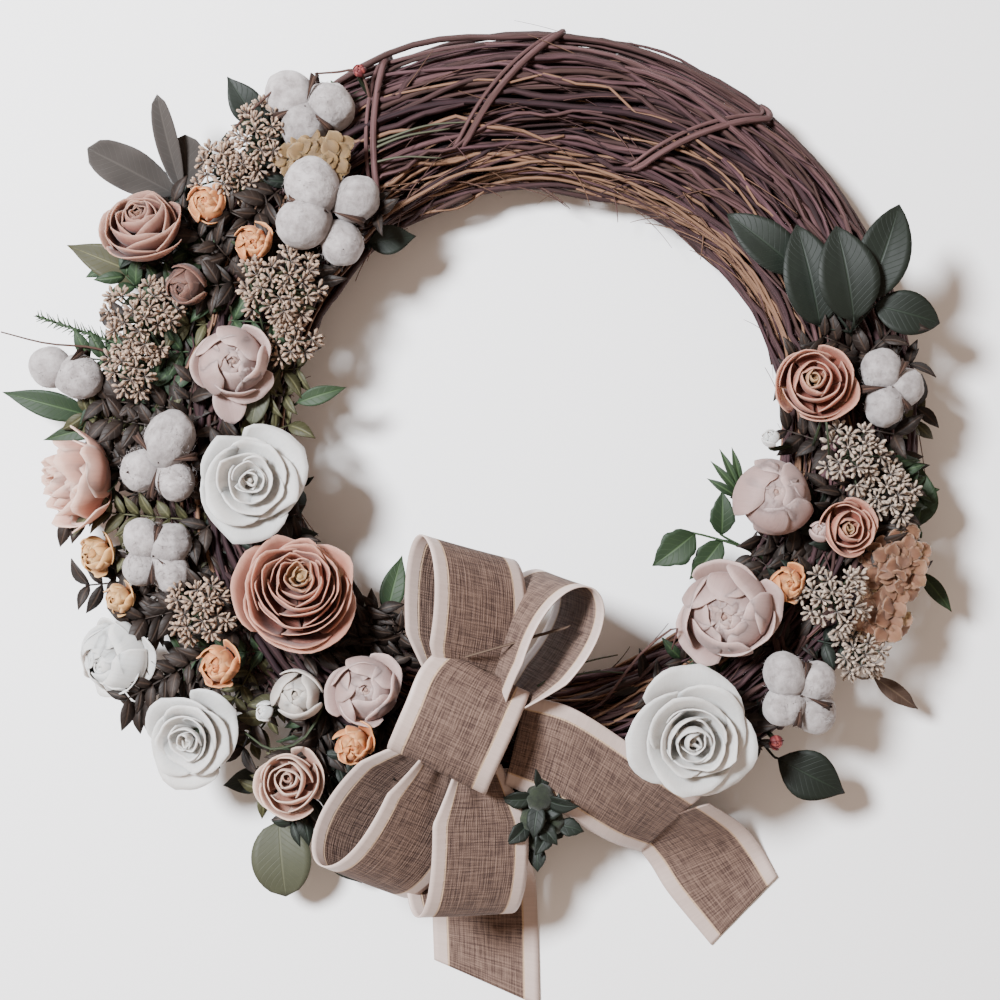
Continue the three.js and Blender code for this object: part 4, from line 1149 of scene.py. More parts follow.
@dataclass
class Greenery:
    """Leaves, a needled sprig, twigs, grasses and the dark undergrowth beneath the blooms."""

    seed: int = 31
    first_spray_seed: int = 900
    needles: int = 70
    needle_length: float = 8.0
    needle_radius: float = 0.55
    # Stretches of the ring that carry undergrowth, as their two angles and their twigs.
    twigs_in: tuple[tuple[float, float, int], ...] = ((127, 262, 150), (-62, 17, 74))
    # How far out the undergrowth reaches, as angles on the ring and distances from its centre.
    outer: tuple[tuple[float, ...], ...] = (
        (-62, -40, -15, 20, 121, 135, 155, 180, 205, 225, 245, 262),
        (212, 236, 240, 222, 218, 250, 268, 282, 290, 290, 276, 232),
    )

    def build(self) -> None:
        """Builds every green piece."""
        blade, rod = sheet_template(8, 12), rod_template(6, 10)
        for seed, spray in enumerate(SPRAYS, self.first_spray_seed):
            spray.build(blade, rod, seed)
        petal, lone = Cluster(), Cluster()
        Leaf((-177, 28, 68), (-174, 2, 64), 20, Outline.ROUND, 0.06).add_to(petal, blade, 0.5, 1.0)
        petal.settle("petal_hanging_left", "blush")
        Leaf((-158, 26, 60), (-164, 2, 62), 15, Outline.ROUND).add_to(lone, blade, 0.6)
        lone.settle("leaf_by_left_peony", "eucalyptus", slot=Slot.LEAF_GREEN)
        self.undergrowth()
        self.sprig("sprig_far_left", (-232, 46, 44), (-292, 66, 48))
        made: dict[str, Cluster] = {}
        for index, (key, radius, route) in enumerate(LOOSE_TWIGS):
            cluster = made.setdefault(key, Cluster())
            size, chance = radius * (1.1 - 0.5 * rod.share), (index * 0.37) % 1
            cluster.add_rod(rod, bezier(route), size, (radius * 3, 60), 0.2, chance)
        for key, cluster in made.items():
            cluster.settle(f"loose_twigs_{key}", key)

    def undergrowth(self) -> None:
        """Sets short dark leafy twigs in the ring, which fill the mass between the blooms; their near-black
        leaves partly paint the shade there.
        """
        blade, rod = sheet_template(2, 6), rod_template(4, 5)
        source = np.random.default_rng(self.seed)
        made = {key: Cluster() for key in ("deep", "dark", "green", "olive")}
        for first, last, count in self.twigs_in:
            for k in range(count):
                degrees = first + (last - first) * (k + source.uniform(0, 1)) / count
                place = source.choice(["out", "out", "out", "in", "face"])
                reach = np.interp(degrees, *self.outer) * source.uniform(0.84, 1.0)
                low = source.uniform(30, 52)
                if place == "in":
                    reach, low = source.uniform(138, 165), source.uniform(40, 58)
                if place == "face":
                    reach, low = source.uniform(150, 225), source.uniform(56, 64)
                foot = on_ring(degrees, RING_RADIUS + source.uniform(-14, 16), 44)
                tip = on_ring(degrees + source.uniform(-9, 9), reach, low)
                # Most twigs, and every twig on the ring's face, take the near-black finish, which partly
                # paints the shade between blooms.
                keys = ("green", "dark", "olive", "deep", "deep", "deep", "deep", "deep")
                key = "deep" if place == "face" else keys[int(source.integers(len(keys)))]
                self.twig(made[key], blade, rod, foot, tip, source)
        for key, cluster in made.items():
            cluster.settle(f"undergrowth_{key}", key)

    @staticmethod
    def twig(
        cluster: Cluster, blade: Template, rod: Template, foot: Array, tip: Array, source: Random
    ) -> None:
        """Adds a bowed twig with leaves on both sides and one at its tip.

        Args:
            cluster: What they are added to.
            blade: The sheet template of a leaf.
            rod: The rod template of the twig.
            foot: Where the twig leaves the ring.
            tip: Its end.
            source: Seeded random numbers.
        """
        path = bezier([foot - UP * 12, foot, (foot + tip) / 2 + UP * source.uniform(2, 9), tip])
        cluster.add_rod(rod, path, 1.0 - 0.5 * rod.share, (3, 50), 0.3, source.uniform())
        pairs = max(2, round(float(np.linalg.norm(tip - foot)) / 9))
        ahead = unit(tip - foot)
        side = unit(np.cross(ahead, UP))
        for k in range(pairs):
            spot = path(np.array([0.42 + 0.56 * k / max(1, pairs - 1)]))[0]
            for sign in (-1, 1):
                way = unit(ahead * source.uniform(0.4, 1.0) + side * sign + UP * source.uniform(-0.25, 0.45))
                size = source.uniform(12, 21)
                roll = source.uniform(-40, 40)
                leaf = Leaf(spot, spot + way * size, size * source.uniform(0.36, 0.52), roll=roll)
                leaf.add_to(cluster, blade, source.uniform())

    def sprig(self, node: str, start: Point, end: Point) -> None:
        """Builds a needled sprig.

        Args:
            node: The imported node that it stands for.
            start: Where it leaves the ring.
            end: Its tip.
        """
        rod, needle = rod_template(5, 8), rod_template(4, 3)
        source = np.random.default_rng(len(node))
        made = Cluster()
        first, last = np.array(start, float), np.array(end, float)
        ahead = unit(last - first)
        axes = frame_on(ahead)
        made.add_rod(rod, bezier([ring_under(first), first, last]), 1.3 - 0.6 * rod.share, (3, 60), 0.2, 0.5)
        radius = self.needle_radius * (1.05 - needle.share * 0.8)
        for k in range(self.needles):
            share = 0.12 + 0.86 * k / self.needles
            foot = first + (last - first) * share
            out = side_of(axes, k * 137.5) * 0.85 + ahead * source.uniform(0.4, 0.8)
            tip = foot + unit(out) * self.needle_length * (1.1 - 0.5 * share)
            made.add_rod(needle, bezier([foot, (foot + tip) / 2 + UP * 0.4, tip]), radius, (1, 8), 0.0, 0.7)
        made.settle(f"{node}_needles", "green", [node])


@dataclass(frozen=True)
class Dome:
    """The dome of a flower head: its foot's middle, its radius and its height."""

    x: float
    y: float
    z: float
    radius: float
    height: float

    def spots(
        self,
        source: Random,
        count: int,
        start: float,
        inset: float,
        sink: tuple[float, float],
        jitter: float = 0,
    ) -> Iterator[Array]:
        """Gives places in a spiral over the dome.

        Args:
            source: Seeded random numbers.
            count: How many places.
            start: How far the first stands from the top, in steps of the spiral.
            inset: How far inside the dome's edge they end.
            sink: The least and most that they stand under the dome.
            jitter: How far they stray round the dome, in radians.

        Yields:
            Each place.
        """
        for k in range(count):
            reach = math.sqrt((k + start) / count) * (self.radius - inset)
            turn = k * GOLDEN_ANGLE + (source.uniform(-jitter, jitter) if jitter else 0)
            rise = self.height * (1 - (reach / self.radius) ** 2) - source.uniform(*sink)
            yield np.array([self.x + reach * math.cos(turn), self.y + reach * math.sin(turn), self.z + rise])


@dataclass
class FillerHeads:
    """The tan filler, whose heads are domes of little bursts of club-shaped buds."""

    seed: int = 8
    spacing: float = 8.9
    buds: int = 12
    bud_length: float = 6.8
    bud_radius: float = 1.08
    heads: tuple[tuple[str, str, tuple[Dome, ...]], ...] = (
        ("umbel_top", "filler", (Dome(-157, 166, 60, 24, 15), Dome(-180, 146, 60, 20, 14))),
        ("umbel_upper", "filler", (Dome(-146, 80, 70, 26, 16), Dome(-141, 50, 62, 16, 13))),
        ("umbel_left", "filler", (Dome(-227, 62, 60, 26, 15), Dome(-234, 34, 58, 18, 13))),
        ("umbel_low_left", "filler", (Dome(-192, -104, 68, 21, 13),)),
        ("umbel_right_top", "filler_pale", (Dome(180, -16, 73, 21, 14), Dome(203, -38, 66, 19, 13))),
        ("umbel_right_low", "filler_pale", (Dome(170, -98, 74, 22, 14), Dome(186, -130, 60, 17, 13))),
    )

    def build(self) -> None:
        """Builds each head as a piece of its own, and the stalks under them as another."""
        bud, rod = rod_template(4, 4), rod_template(4, 5)
        stalks = Cluster()
        source = np.random.default_rng(self.seed)
        for node, finish, domes in self.heads:
            made = Cluster()
            for dome in domes:
                foot = np.array([dome.x, dome.y, dome.z - dome.height * 0.4])
                root = ring_under(foot)
                stem = bezier([root, (root + foot) / 2 + UP * 4, foot])
                stalks.add_rod(rod, stem, STEM_RADIUS - 0.4 * rod.share, (3, 40), 0.0, 0.4)
                count = max(5, round((dome.radius / self.spacing) ** 2 * 2.9))
                for middle in dome.spots(source, count, 0.5, 3.5, (2.5, 7.5), 0.3):
                    self.burst(made, bud, middle, unit(middle - foot + UP * 6), source)
                    path = bezier([foot, (foot + middle) / 2 - UP * 1.5, middle])
                    stalks.add_rod(rod, path, 0.65, (3, 40), 0.0, source.uniform())
            made.settle(f"{node}_buds", finish, [node])
        stalks.settle("filler_stalks", "stem")

    def burst(self, cluster: Cluster, bud: Template, middle: Array, axis: Array, source: Random) -> None:
        """Adds one burst of club-shaped buds.

        Args:
            cluster: What they are added to.
            bud: The rod template of a bud.
            middle: The burst's middle.
            axis: The way it faces.
            source: Seeded random numbers.
        """
        axes = frame_on(axis)
        uv = np.stack([bud.points[:, 0], bud.share * self.bud_length], axis=1)
        club = np.interp(bud.share, [0, 0.25, 0.5, 0.75, 1.0], [0.24, 0.3, 0.5, 1.0, 0.5])
        for i in range(self.buds):
            lean = 1.5 * math.sqrt((i + 0.3) / self.buds)
            out = side_of(axes, math.degrees(i * GOLDEN_ANGLE)) * math.sin(lean) + axes[2] * math.cos(lean)
            size = source.uniform(0.8, 1.15)
            path = bezier([middle, middle + unit(out) * self.bud_length * size])
            points = along_path(bud, path, self.bud_radius * size * club)
            # Painted shade: each bud darkens towards its base, in the crowded middle of the burst.
            cluster.add(bud, points, uv, 0.95 * (1 - bud.share) ** 0.8, source.uniform())


@dataclass
class Hydrangeas:
    """Heads of four-petalled florets."""

    seed: int = 9
    spacing: float = 10.5
    floret: float = 10.5
    heads: tuple[tuple[str, str, tuple[Dome, ...]], ...] = (
        ("hydrangea_gold", "maize", (Dome(-133, 155, 66, 13, 12), Dome(-117, 153, 68, 12, 11))),
        ("hydrangea_peach", "tan", (Dome(206, -78, 60, 20, 13), Dome(200, -108, 56, 17, 12))),
    )

    def build(self) -> None:
        """Builds each head as a piece, of florets with four petals each."""
        blade = sheet_template(5, 5)
        source = np.random.default_rng(self.seed)
        for node, finish, domes in self.heads:
            made = Cluster()
            for dome in domes:
                count = max(5, round((dome.radius / self.spacing) ** 2 * 3.2))
                for spot in dome.spots(source, count, 0.3, 3, (1, 5)):
                    out = unit(spot - np.array([dome.x, dome.y, dome.z - dome.radius]))
                    axes = frame_on(unit(out + 0.25 * source.normal(size=3)))
                    start = source.uniform(0, 90)
                    for i in range(4):
                        way = side_of(axes, start + 90 * i + source.uniform(-8, 8))
                        length = self.floret * source.uniform(0.85, 1.1)
                        tip = spot + way * length + axes[2] * source.uniform(0, 1.8)
                        petal = Leaf(spot + way * 0.6, tip, length * 0.95, Outline.ROUND, 0.06, wave=0.5)
                        petal.add_to(made, blade, source.uniform(), 1.0)
            made.settle(f"{node}_florets", finish, [node])


Lobe = tuple[float, float, float, float]


@dataclass
class CottonBolls:
    """The cotton bolls: puffed lobes in a dry brown husk."""

    seed: int = 5
    first_lobe_seed: int = 40
    fibres: int = 110
    fibre_radius: float = 0.15
    # The lobes of each boll, as their middle and radius.
    bolls: tuple[tuple[str, tuple[Lobe, ...]], ...] = (
        ("cotton_top", ((-142, 192, 56, 14), (-121, 186, 56, 15), (-134, 174, 60, 13))),
        (
            "cotton_upper",
            ((-128, 136, 77, 16), (-133, 116, 76, 15), (-104, 130, 71, 13.5), (-112, 106, 68, 13)),
        ),
        ("cotton_far_left", ((-283, 36, 48, 12), (-266, 30, 50, 13))),
        ("cotton_trio", ((-209, -7, 74, 15), (-226, -24, 66, 13), (-206, -30, 72, 12))),
        (
            "cotton_mid_left",
            ((-226, -64, 62, 12), (-210, -67, 64, 12), (-227, -80, 60, 11), (-212, -82, 62, 12)),
        ),
        ("cotton_right_top", ((197, 32, 71, 12), (209, 23, 67, 12), (199, 13, 71, 12))),
        (
            "cotton_right_low",
            ((141, -141, 76, 13), (157, -146, 73, 12.5), (142, -158, 74, 12.5), (158, -162, 68, 13)),
        ),
    )

    def build(self) -> None:
        """Builds each boll's lobes and fibres as one piece and all the husks as another."""
        ball, fibre = ball_template(4), rod_template(3, 2)
        blade, rod = sheet_template(4, 6), rod_template(6, 8)
        husks = Cluster()
        source = np.random.default_rng(self.seed)
        for index, (node, lobes) in enumerate(self.bolls):
            made = Cluster()
            middle = np.array(lobes)[:, :3].mean(axis=0)
            for number, (x, y, z, radius) in enumerate(lobes):
                centre = np.array([x, y, z])
                seed = self.first_lobe_seed + index * 7 + number
                shape = self.lobe(ball, radius, seed, unit(centre - middle + 0.01))
                # Painted shade: each lobe darkens on its side towards the boll's middle and underneath.
                painted_cleft_shade = np.clip(-ball.points @ unit(centre - middle + UP * 5) + 0.1, 0, 1)
                uv = ball.points[:, :2] * radius
                made.add(ball, centre + shape, uv, 0.9 * painted_cleft_shade, source.uniform())
                self.fuzz(made, fibre, centre, radius, source)
            made.settle(f"{node}_lobes", "cotton", [node])
            self.husk(husks, blade, rod, lobes, source)
        husks.settle("cotton_husks", "husk")

    @staticmethod
    def lobe(ball: Template, radius: float, seed: int, outward: Array) -> Array:
        """Puffs a ball into a lobe of fibre with soft lumps, drawn out from the boll's middle.

        Args:
            ball: The ball template.
            radius: The lobe's radius in mm.
            seed: What makes this lobe differ from the next.
            outward: The way from the boll's middle.

        Returns:
            The lobe's points round its own middle.
        """
        soft = ripple(ball.points, 0.3, seed)
        fine = ripple(ball.points, 0.9, seed + 1000)
        tufts = ripple(ball.points, 2.4, seed + 2000)
        swell = 1.0 + 0.075 * soft + 0.035 * fine + 0.014 * tufts
        drawn = 0.97 * ball.points + outward * (0.13 * (ball.points @ outward))[:, None]
        return drawn * (radius * swell)[:, None]

    def fuzz(self, cluster: Cluster, fibre: Template, centre: Array, radius: float, source: Random) -> None:
        """Lets short curled fibres stand off a lobe.

        Args:
            cluster: What they are added to.
            fibre: The rod template of a fibre.
            centre: The lobe's middle.
            radius: The lobe's radius.
            source: Seeded random numbers.
        """
        uv = fibre.points[:, :2]
        thinned = self.fibre_radius * (1.1 - 0.8 * fibre.share)
        for _ in range(self.fibres):
            out = unit(source.normal(size=3) + np.array([0, 0, 0.3]))
            drift = unit(np.cross(out, source.normal(size=3)))
            foot = centre + out * radius * 0.94
            tip = foot + out * source.uniform(0.8, 1.9) + drift * source.uniform(1.5, 4.5)
            path = bezier([foot, foot + out * 1.0 + drift * 0.8, tip])
            cluster.add(fibre, along_path(fibre, path, thinned), uv, 0.0, 0.9)

    @staticmethod
    def husk(husks: Cluster, blade: Template, rod: Template, lobes: tuple[Lobe, ...], source: Random) -> None:
        """Adds one boll's dry husk points, which show between its lobes, and its stem.

        Args:
            husks: What they are added to.
            blade: The sheet template of a husk point.
            rod: The rod template of the stem.
            lobes: The boll's lobes.
            source: Seeded random numbers.
        """
        spots = np.array([lobe[:3] for lobe in lobes], float)
        middle = spots.mean(axis=0)
        radius = lobes[0][3]
        foot = middle - UP * radius * 0.85
        ways = [unit(spot - middle) for spot in spots]
        for i, way in enumerate(ways):
            between = unit(way + ways[(i + 1) % len(ways)] + 0.01)
            for out in (between, way):
                flat = unit(out * LEVEL)
                tip = middle + flat * radius * source.uniform(1.25, 1.6)
                tip = tip + UP * radius * source.uniform(-0.1, 0.55)
                Leaf(foot, tip, 7.0, Outline.LANCE, -0.22, fold=0.6).add_to(husks, blade, source.uniform())
            flat = unit(between * LEVEL)
            base = middle + flat * radius - UP * radius * 0.45
            tip = middle + flat * radius * 0.25 + UP * radius * 0.8
            Leaf(base, tip, 5.0, Outline.LANCE, 0.56, fold=0.5).add_to(husks, blade, source.uniform())
        Leaf(foot, middle + UP * radius * 0.95, 4.5, Outline.LANCE, 0.05).add_to(husks, blade, 0.4)
        root = ring_under(foot)
        husks.add_rod(rod, bezier([foot, foot * 0.6 + root * 0.4, root]), STEM_RADIUS, (4, 40), 0.0, 0.5)


class BloomKind(Enum):
    """How a bloom's petals stand."""

    ROSE = "rose"
    OPEN_ROSE = "open rose"
    RANUNCULUS = "ranunculus"
    CUP = "open cup"
    RUFFLED = "ruffled peony"
    PEONY = "peony"
    PEONY_BUD = "closed peony"
    POMPON = "small bloom"
    BUD = "rosebud"


@dataclass(frozen=True)
class Whorl:
    """One stage of a bloom's petals, lengths in shares of its radius.

    Each petal rises from its base at one angle and reaches its tip at the other, its finish.
    """

    stage: float
    base: tuple[float, float]
    rise: float
    tip: tuple[float, float]
    finish: float
    half_width: float
    belly: float = 0.4


@dataclass(frozen=True)
class BloomForm:
    """How many petals a kind of bloom has and how they change from the heart outwards."""

    count: int
    whorls: tuple[Whorl, ...]
    frill: float = 0.03
    lip: float = 0.5
    lap: float = 0.05
    thickness: float = 0.7
    wrap: float = 2.6
    point: float = 0.0
    heart: tuple[float, float] = (0.1, 0.2)

    def at(self, stage: float) -> Array:
        """Gives a petal's eight numbers at a stage, between those of the whorls beside it.

        Args:
            stage: The petal's stage from the heart outwards, 0 to 1.

        Returns:
            Its base, rise, tip, finish, half width and belly.
        """
        rows = [(w.stage, *w.base, w.rise, *w.tip, w.finish, w.half_width, w.belly) for w in self.whorls]
        stages, *columns = np.array(rows).T
        return np.array([np.interp(stage, stages, column) for column in columns])


BLOOM_FORMS = {
    BloomKind.ROSE: BloomForm(18, (
        Whorl(0.0, (0.02, 0.0), 88, (0.02, 0.40), 126, 0.20),
        Whorl(0.18, (0.05, -0.05), 84, (0.11, 0.44), 118, 0.36),
        Whorl(0.38, (0.10, -0.15), 70, (0.28, 0.46), 104, 0.60),
        Whorl(0.62, (0.14, -0.32), 54, (0.55, 0.39), 58, 0.82),
        Whorl(0.82, (0.16, -0.42), 42, (0.83, 0.22), 8, 0.90),
        Whorl(1.0, (0.18, -0.5), 30, (1.03, 0.02), -28, 0.92),
    ), frill=0.045, lap=0.07, point=0.04, heart=(0.05, 0.22)),
    BloomKind.OPEN_ROSE: BloomForm(15, (
        Whorl(0.0, (0.02, 0.0), 88, (0.03, 0.34), 124, 0.20),
        Whorl(0.2, (0.05, -0.05), 80, (0.15, 0.40), 108, 0.38),
        Whorl(0.45, (0.10, -0.2), 60, (0.42, 0.41), 68, 0.70),
        Whorl(0.7, (0.14, -0.38), 44, (0.74, 0.28), 12, 0.90),
        Whorl(1.0, (0.18, -0.5), 30, (1.05, 0.04), -24, 0.98),
    ), frill=0.06, lap=0.08, point=0.05, heart=(0.05, 0.18)),
    BloomKind.RANUNCULUS: BloomForm(30, (
        Whorl(0.0, (0.02, 0.0), 92, (0.05, 0.17), 128, 0.16),
        Whorl(0.15, (0.06, -0.05), 88, (0.17, 0.28), 114, 0.30),
        Whorl(0.4, (0.14, -0.2), 60, (0.38, 0.40), 100, 0.56, 0.5),
        Whorl(0.7, (0.18, -0.36), 28, (0.68, 0.41), 82, 0.82, 0.55),
        Whorl(0.9, (0.20, -0.45), 16, (0.90, 0.30), 62, 0.95, 0.5),
        Whorl(1.0, (0.20, -0.5), 12, (1.04, 0.12), 30, 1.0, 0.45),
    ), frill=0.07, lip=0.6, lap=0.06, thickness=0.6, heart=(0.07, 0.04)),
    BloomKind.CUP: BloomForm(18, (
        Whorl(0.0, (0.02, 0.0), 92, (0.04, 0.34), 136, 0.26),
        Whorl(0.35, (0.10, -0.2), 60, (0.30, 0.42), 122, 0.58, 0.55),
        Whorl(0.7, (0.16, -0.38), 24, (0.72, 0.40), 96, 0.90, 0.6),
        Whorl(1.0, (0.20, -0.5), 14, (1.03, 0.18), 52, 1.05, 0.45),
    ), frill=0.04, lip=0.7, lap=0.08, thickness=0.6, heart=(0.07, 0.08)),
    BloomKind.PEONY: BloomForm(20, (
        Whorl(0.0, (0.03, -0.2), 60, (0.03, 0.50), 160, 0.46, 0.6),
        Whorl(0.3, (0.08, -0.35), 24, (0.12, 0.55), 152, 0.74, 0.75),
        Whorl(0.6, (0.12, -0.42), 8, (0.36, 0.54), 138, 0.96, 0.85),
        Whorl(0.78, (0.16, -0.46), 4, (0.66, 0.38), 112, 1.0, 0.7),
        Whorl(0.86, (0.16, -0.48), 8, (0.96, 0.12), 44, 0.84, 0.45),
        Whorl(1.0, (0.18, -0.5), 14, (1.10, -0.12), -6, 0.78),
    ), frill=0.045, lap=0.1, wrap=1.35, heart=(0.09, 0.40)),
    BloomKind.PEONY_BUD: BloomForm(10, (
        Whorl(0.0, (0.03, -0.2), 60, (0.03, 0.56), 160, 0.5, 0.65),
        Whorl(0.4, (0.08, -0.4), 14, (0.12, 0.62), 154, 0.84, 0.85),
        Whorl(0.75, (0.12, -0.46), 4, (0.26, 0.60), 146, 1.05, 0.92),
        Whorl(1.0, (0.16, -0.5), 0, (0.48, 0.50), 130, 1.15, 0.92),
    ), frill=0.02, lip=0.35, lap=0.07, wrap=1.35, heart=(0.10, 0.46)),
    BloomKind.RUFFLED: BloomForm(24, (
        Whorl(0.0, (0.03, -0.2), 80, (0.05, 0.46), 134, 0.36, 0.5),
        Whorl(0.35, (0.08, -0.3), 52, (0.26, 0.52), 120, 0.60, 0.6),
        Whorl(0.7, (0.14, -0.4), 26, (0.62, 0.42), 96, 0.80, 0.6),
        Whorl(1.0, (0.18, -0.5), 12, (1.0, 0.08), 44, 0.86, 0.5),
    ), frill=0.13, lip=0.6, lap=0.12, heart=(0.1, 0.1)),
    BloomKind.POMPON: BloomForm(15, (
        Whorl(0.0, (0.03, -0.2), 60, (0.03, 0.52), 158, 0.42, 0.55),
        Whorl(0.4, (0.08, -0.35), 24, (0.16, 0.56), 148, 0.66, 0.75),
        Whorl(0.75, (0.14, -0.42), 8, (0.50, 0.46), 126, 0.84, 0.72),
        Whorl(1.0, (0.2, -0.5), 6, (1.0, 0.06), 52, 0.84),
    ), frill=0.1, lip=0.6, lap=0.12, thickness=0.6, wrap=1.5, heart=(0.09, 0.42)),
    BloomKind.BUD: BloomForm(10, (
        Whorl(0.0, (0.03, -0.3), 70, (0.05, 0.60), 140, 0.40, 0.6),
        Whorl(0.4, (0.08, -0.4), 26, (0.20, 0.62), 134, 0.76, 0.75),
        Whorl(0.75, (0.12, -0.45), 6, (0.48, 0.52), 122, 0.98, 0.8),
        Whorl(1.0, (0.16, -0.5), 0, (0.84, 0.28), 94, 1.0, 0.65),
    ), lap=0.06, wrap=1.6, heart=(0.10, 0.46)),
}


@dataclass(frozen=True)
class Bloom:
    """One silk flower: its node, kind, middle, radius, lean from the face, silk and petal count.

    heart_off is how far its heart is set off the way it leans, in radii. slot is the record's
    slot where it isn't the silk's own.
    """

    node: str
    kind: BloomKind
    at: Point
    radius: float
    lean: tuple[float, float]
    silk: str
    count: int = 0
    heart_off: float = 0.0
    slot: Slot | None = None

    def petal(self, form: BloomForm, values: Array, turn: float, phase: float, lap: float) -> Surface:
        """Shapes the surface of one petal.

        Args:
            form: The form of this kind of bloom.
            values: The form's numbers at the petal's stage.
            turn: The petal's direction round the bloom's axis, in radians.
            phase: Where the waves of its lip start, in radians.
            lap: How much further out one edge stands than the other.

        Returns:
            A function from u and v to places in the bloom's own frame, in radii.
        """
        base_r, base_z, rise, tip_r, tip_z, finish, half_width, belly = values
        length = math.hypot(tip_r - base_r, tip_z - base_z)
        rise, finish = math.radians(rise), math.radians(finish)
        first = (base_r + belly * length * math.cos(rise), base_z + belly * length * math.sin(rise))
        last = (tip_r - belly * length * math.cos(finish), tip_z - belly * length * math.sin(finish))

        def surface(u: Array, v: Array) -> Array:
            """Places of the petal.

            Args:
                u: Places across it, -1 to 1.
                v: Places along it, 0 to 1.

            Returns:
                The places in radii.
            """
            top = v * (1 - 0.22 * np.abs(u) ** 2.6 - form.point * (1 - np.exp(-8 * np.abs(u))))
            keep = 1 - top
            weights = (keep**3, 3 * keep**2 * top, 3 * keep * top**2, top**3)
            reach = sum(w * p for w, p in zip(weights, (base_r, first[0], last[0], tip_r)))
            height = sum(w * p for w, p in zip(weights, (base_z, first[1], last[1], tip_z)))
            half = half_width * (0.3 + 0.7 * np.sin(np.minimum(1.15 * top, 1.0) * math.pi / 2))
            curve = np.maximum(reach * 1.08, 0.09)
            bend = form.wrap * np.tanh(u * half / curve / form.wrap)
            wave = form.frill * (np.sin(u * 4.4 + phase) + 0.4 * np.sin(u * 9.7 + 2 * phase)) * top**3
            out = reach + lap * u - curve * (1 - np.cos(bend)) + wave * 0.5
            side = curve * np.sin(bend)
            x = out * math.cos(turn) - side * math.sin(turn)
            y = out * math.sin(turn) + side * math.cos(turn)
            return np.stack([x, y, height + wave], axis=1)

        return surface

    def petals(self, sheets: dict[str, Template], seed: int) -> Cluster:
        """Wraps every petal round the bloom's axis.

        Args:
            sheets: The fine and plain petal templates and the heart's ball.
            seed: What makes this bloom differ from the next.

        Returns:
            The bloom's petals.
        """
        source = np.random.default_rng(seed)
        form = BLOOM_FORMS[self.kind]
        count = self.count or form.count
        middle, template = sheets["heart"], sheets["fine" if self.radius > 20 else "plain"]
        size, height = form.heart
        axes = frame_on(direction(*self.lean))
        made = Cluster()
        u, v, _ = template.points.T
        off = self.radius * self.heart_off * direction(self.lean[0], 90)
        ball = middle.points * np.array([size, size, 1.4 * size]) + UP * height
        ball_uv = middle.points[:, :2] * self.radius * size
        made.add(middle, np.array(self.at) + off + self.radius * ball @ axes, ball_uv, 0.0, 0.5, 0.0)
        for i in range(count):
            stage = (i + 0.5) / count
            values = form.at(stage)
            values[3] *= source.uniform(0.94, 1.06)
            values[4] += source.uniform(-0.03, 0.03)
            values[5] += source.uniform(-9, 9)
            values[6] *= source.uniform(0.9, 1.12)
            turn = i * GOLDEN_ANGLE + source.uniform(-0.12, 0.12)
            surface = self.petal(form, values, turn, source.uniform(0, 6.28), form.lap * (0.5 + stage))
            placed = wrap(template, surface, form.thickness / self.radius)
            points = np.array(self.at) + off * (1 - stage) + self.radius * placed @ axes
            uv = np.stack([u * (self.radius * values[6]), v * self.radius], axis=1)
            tone = form.lip * np.maximum(v**7, 0.7 * np.abs(u) ** 8 * v)
            # v goes in as open_to, so the silk paints shading on each petal's lower part.
            made.add(template, points, uv, tone, source.uniform(), stage, v)
        return made


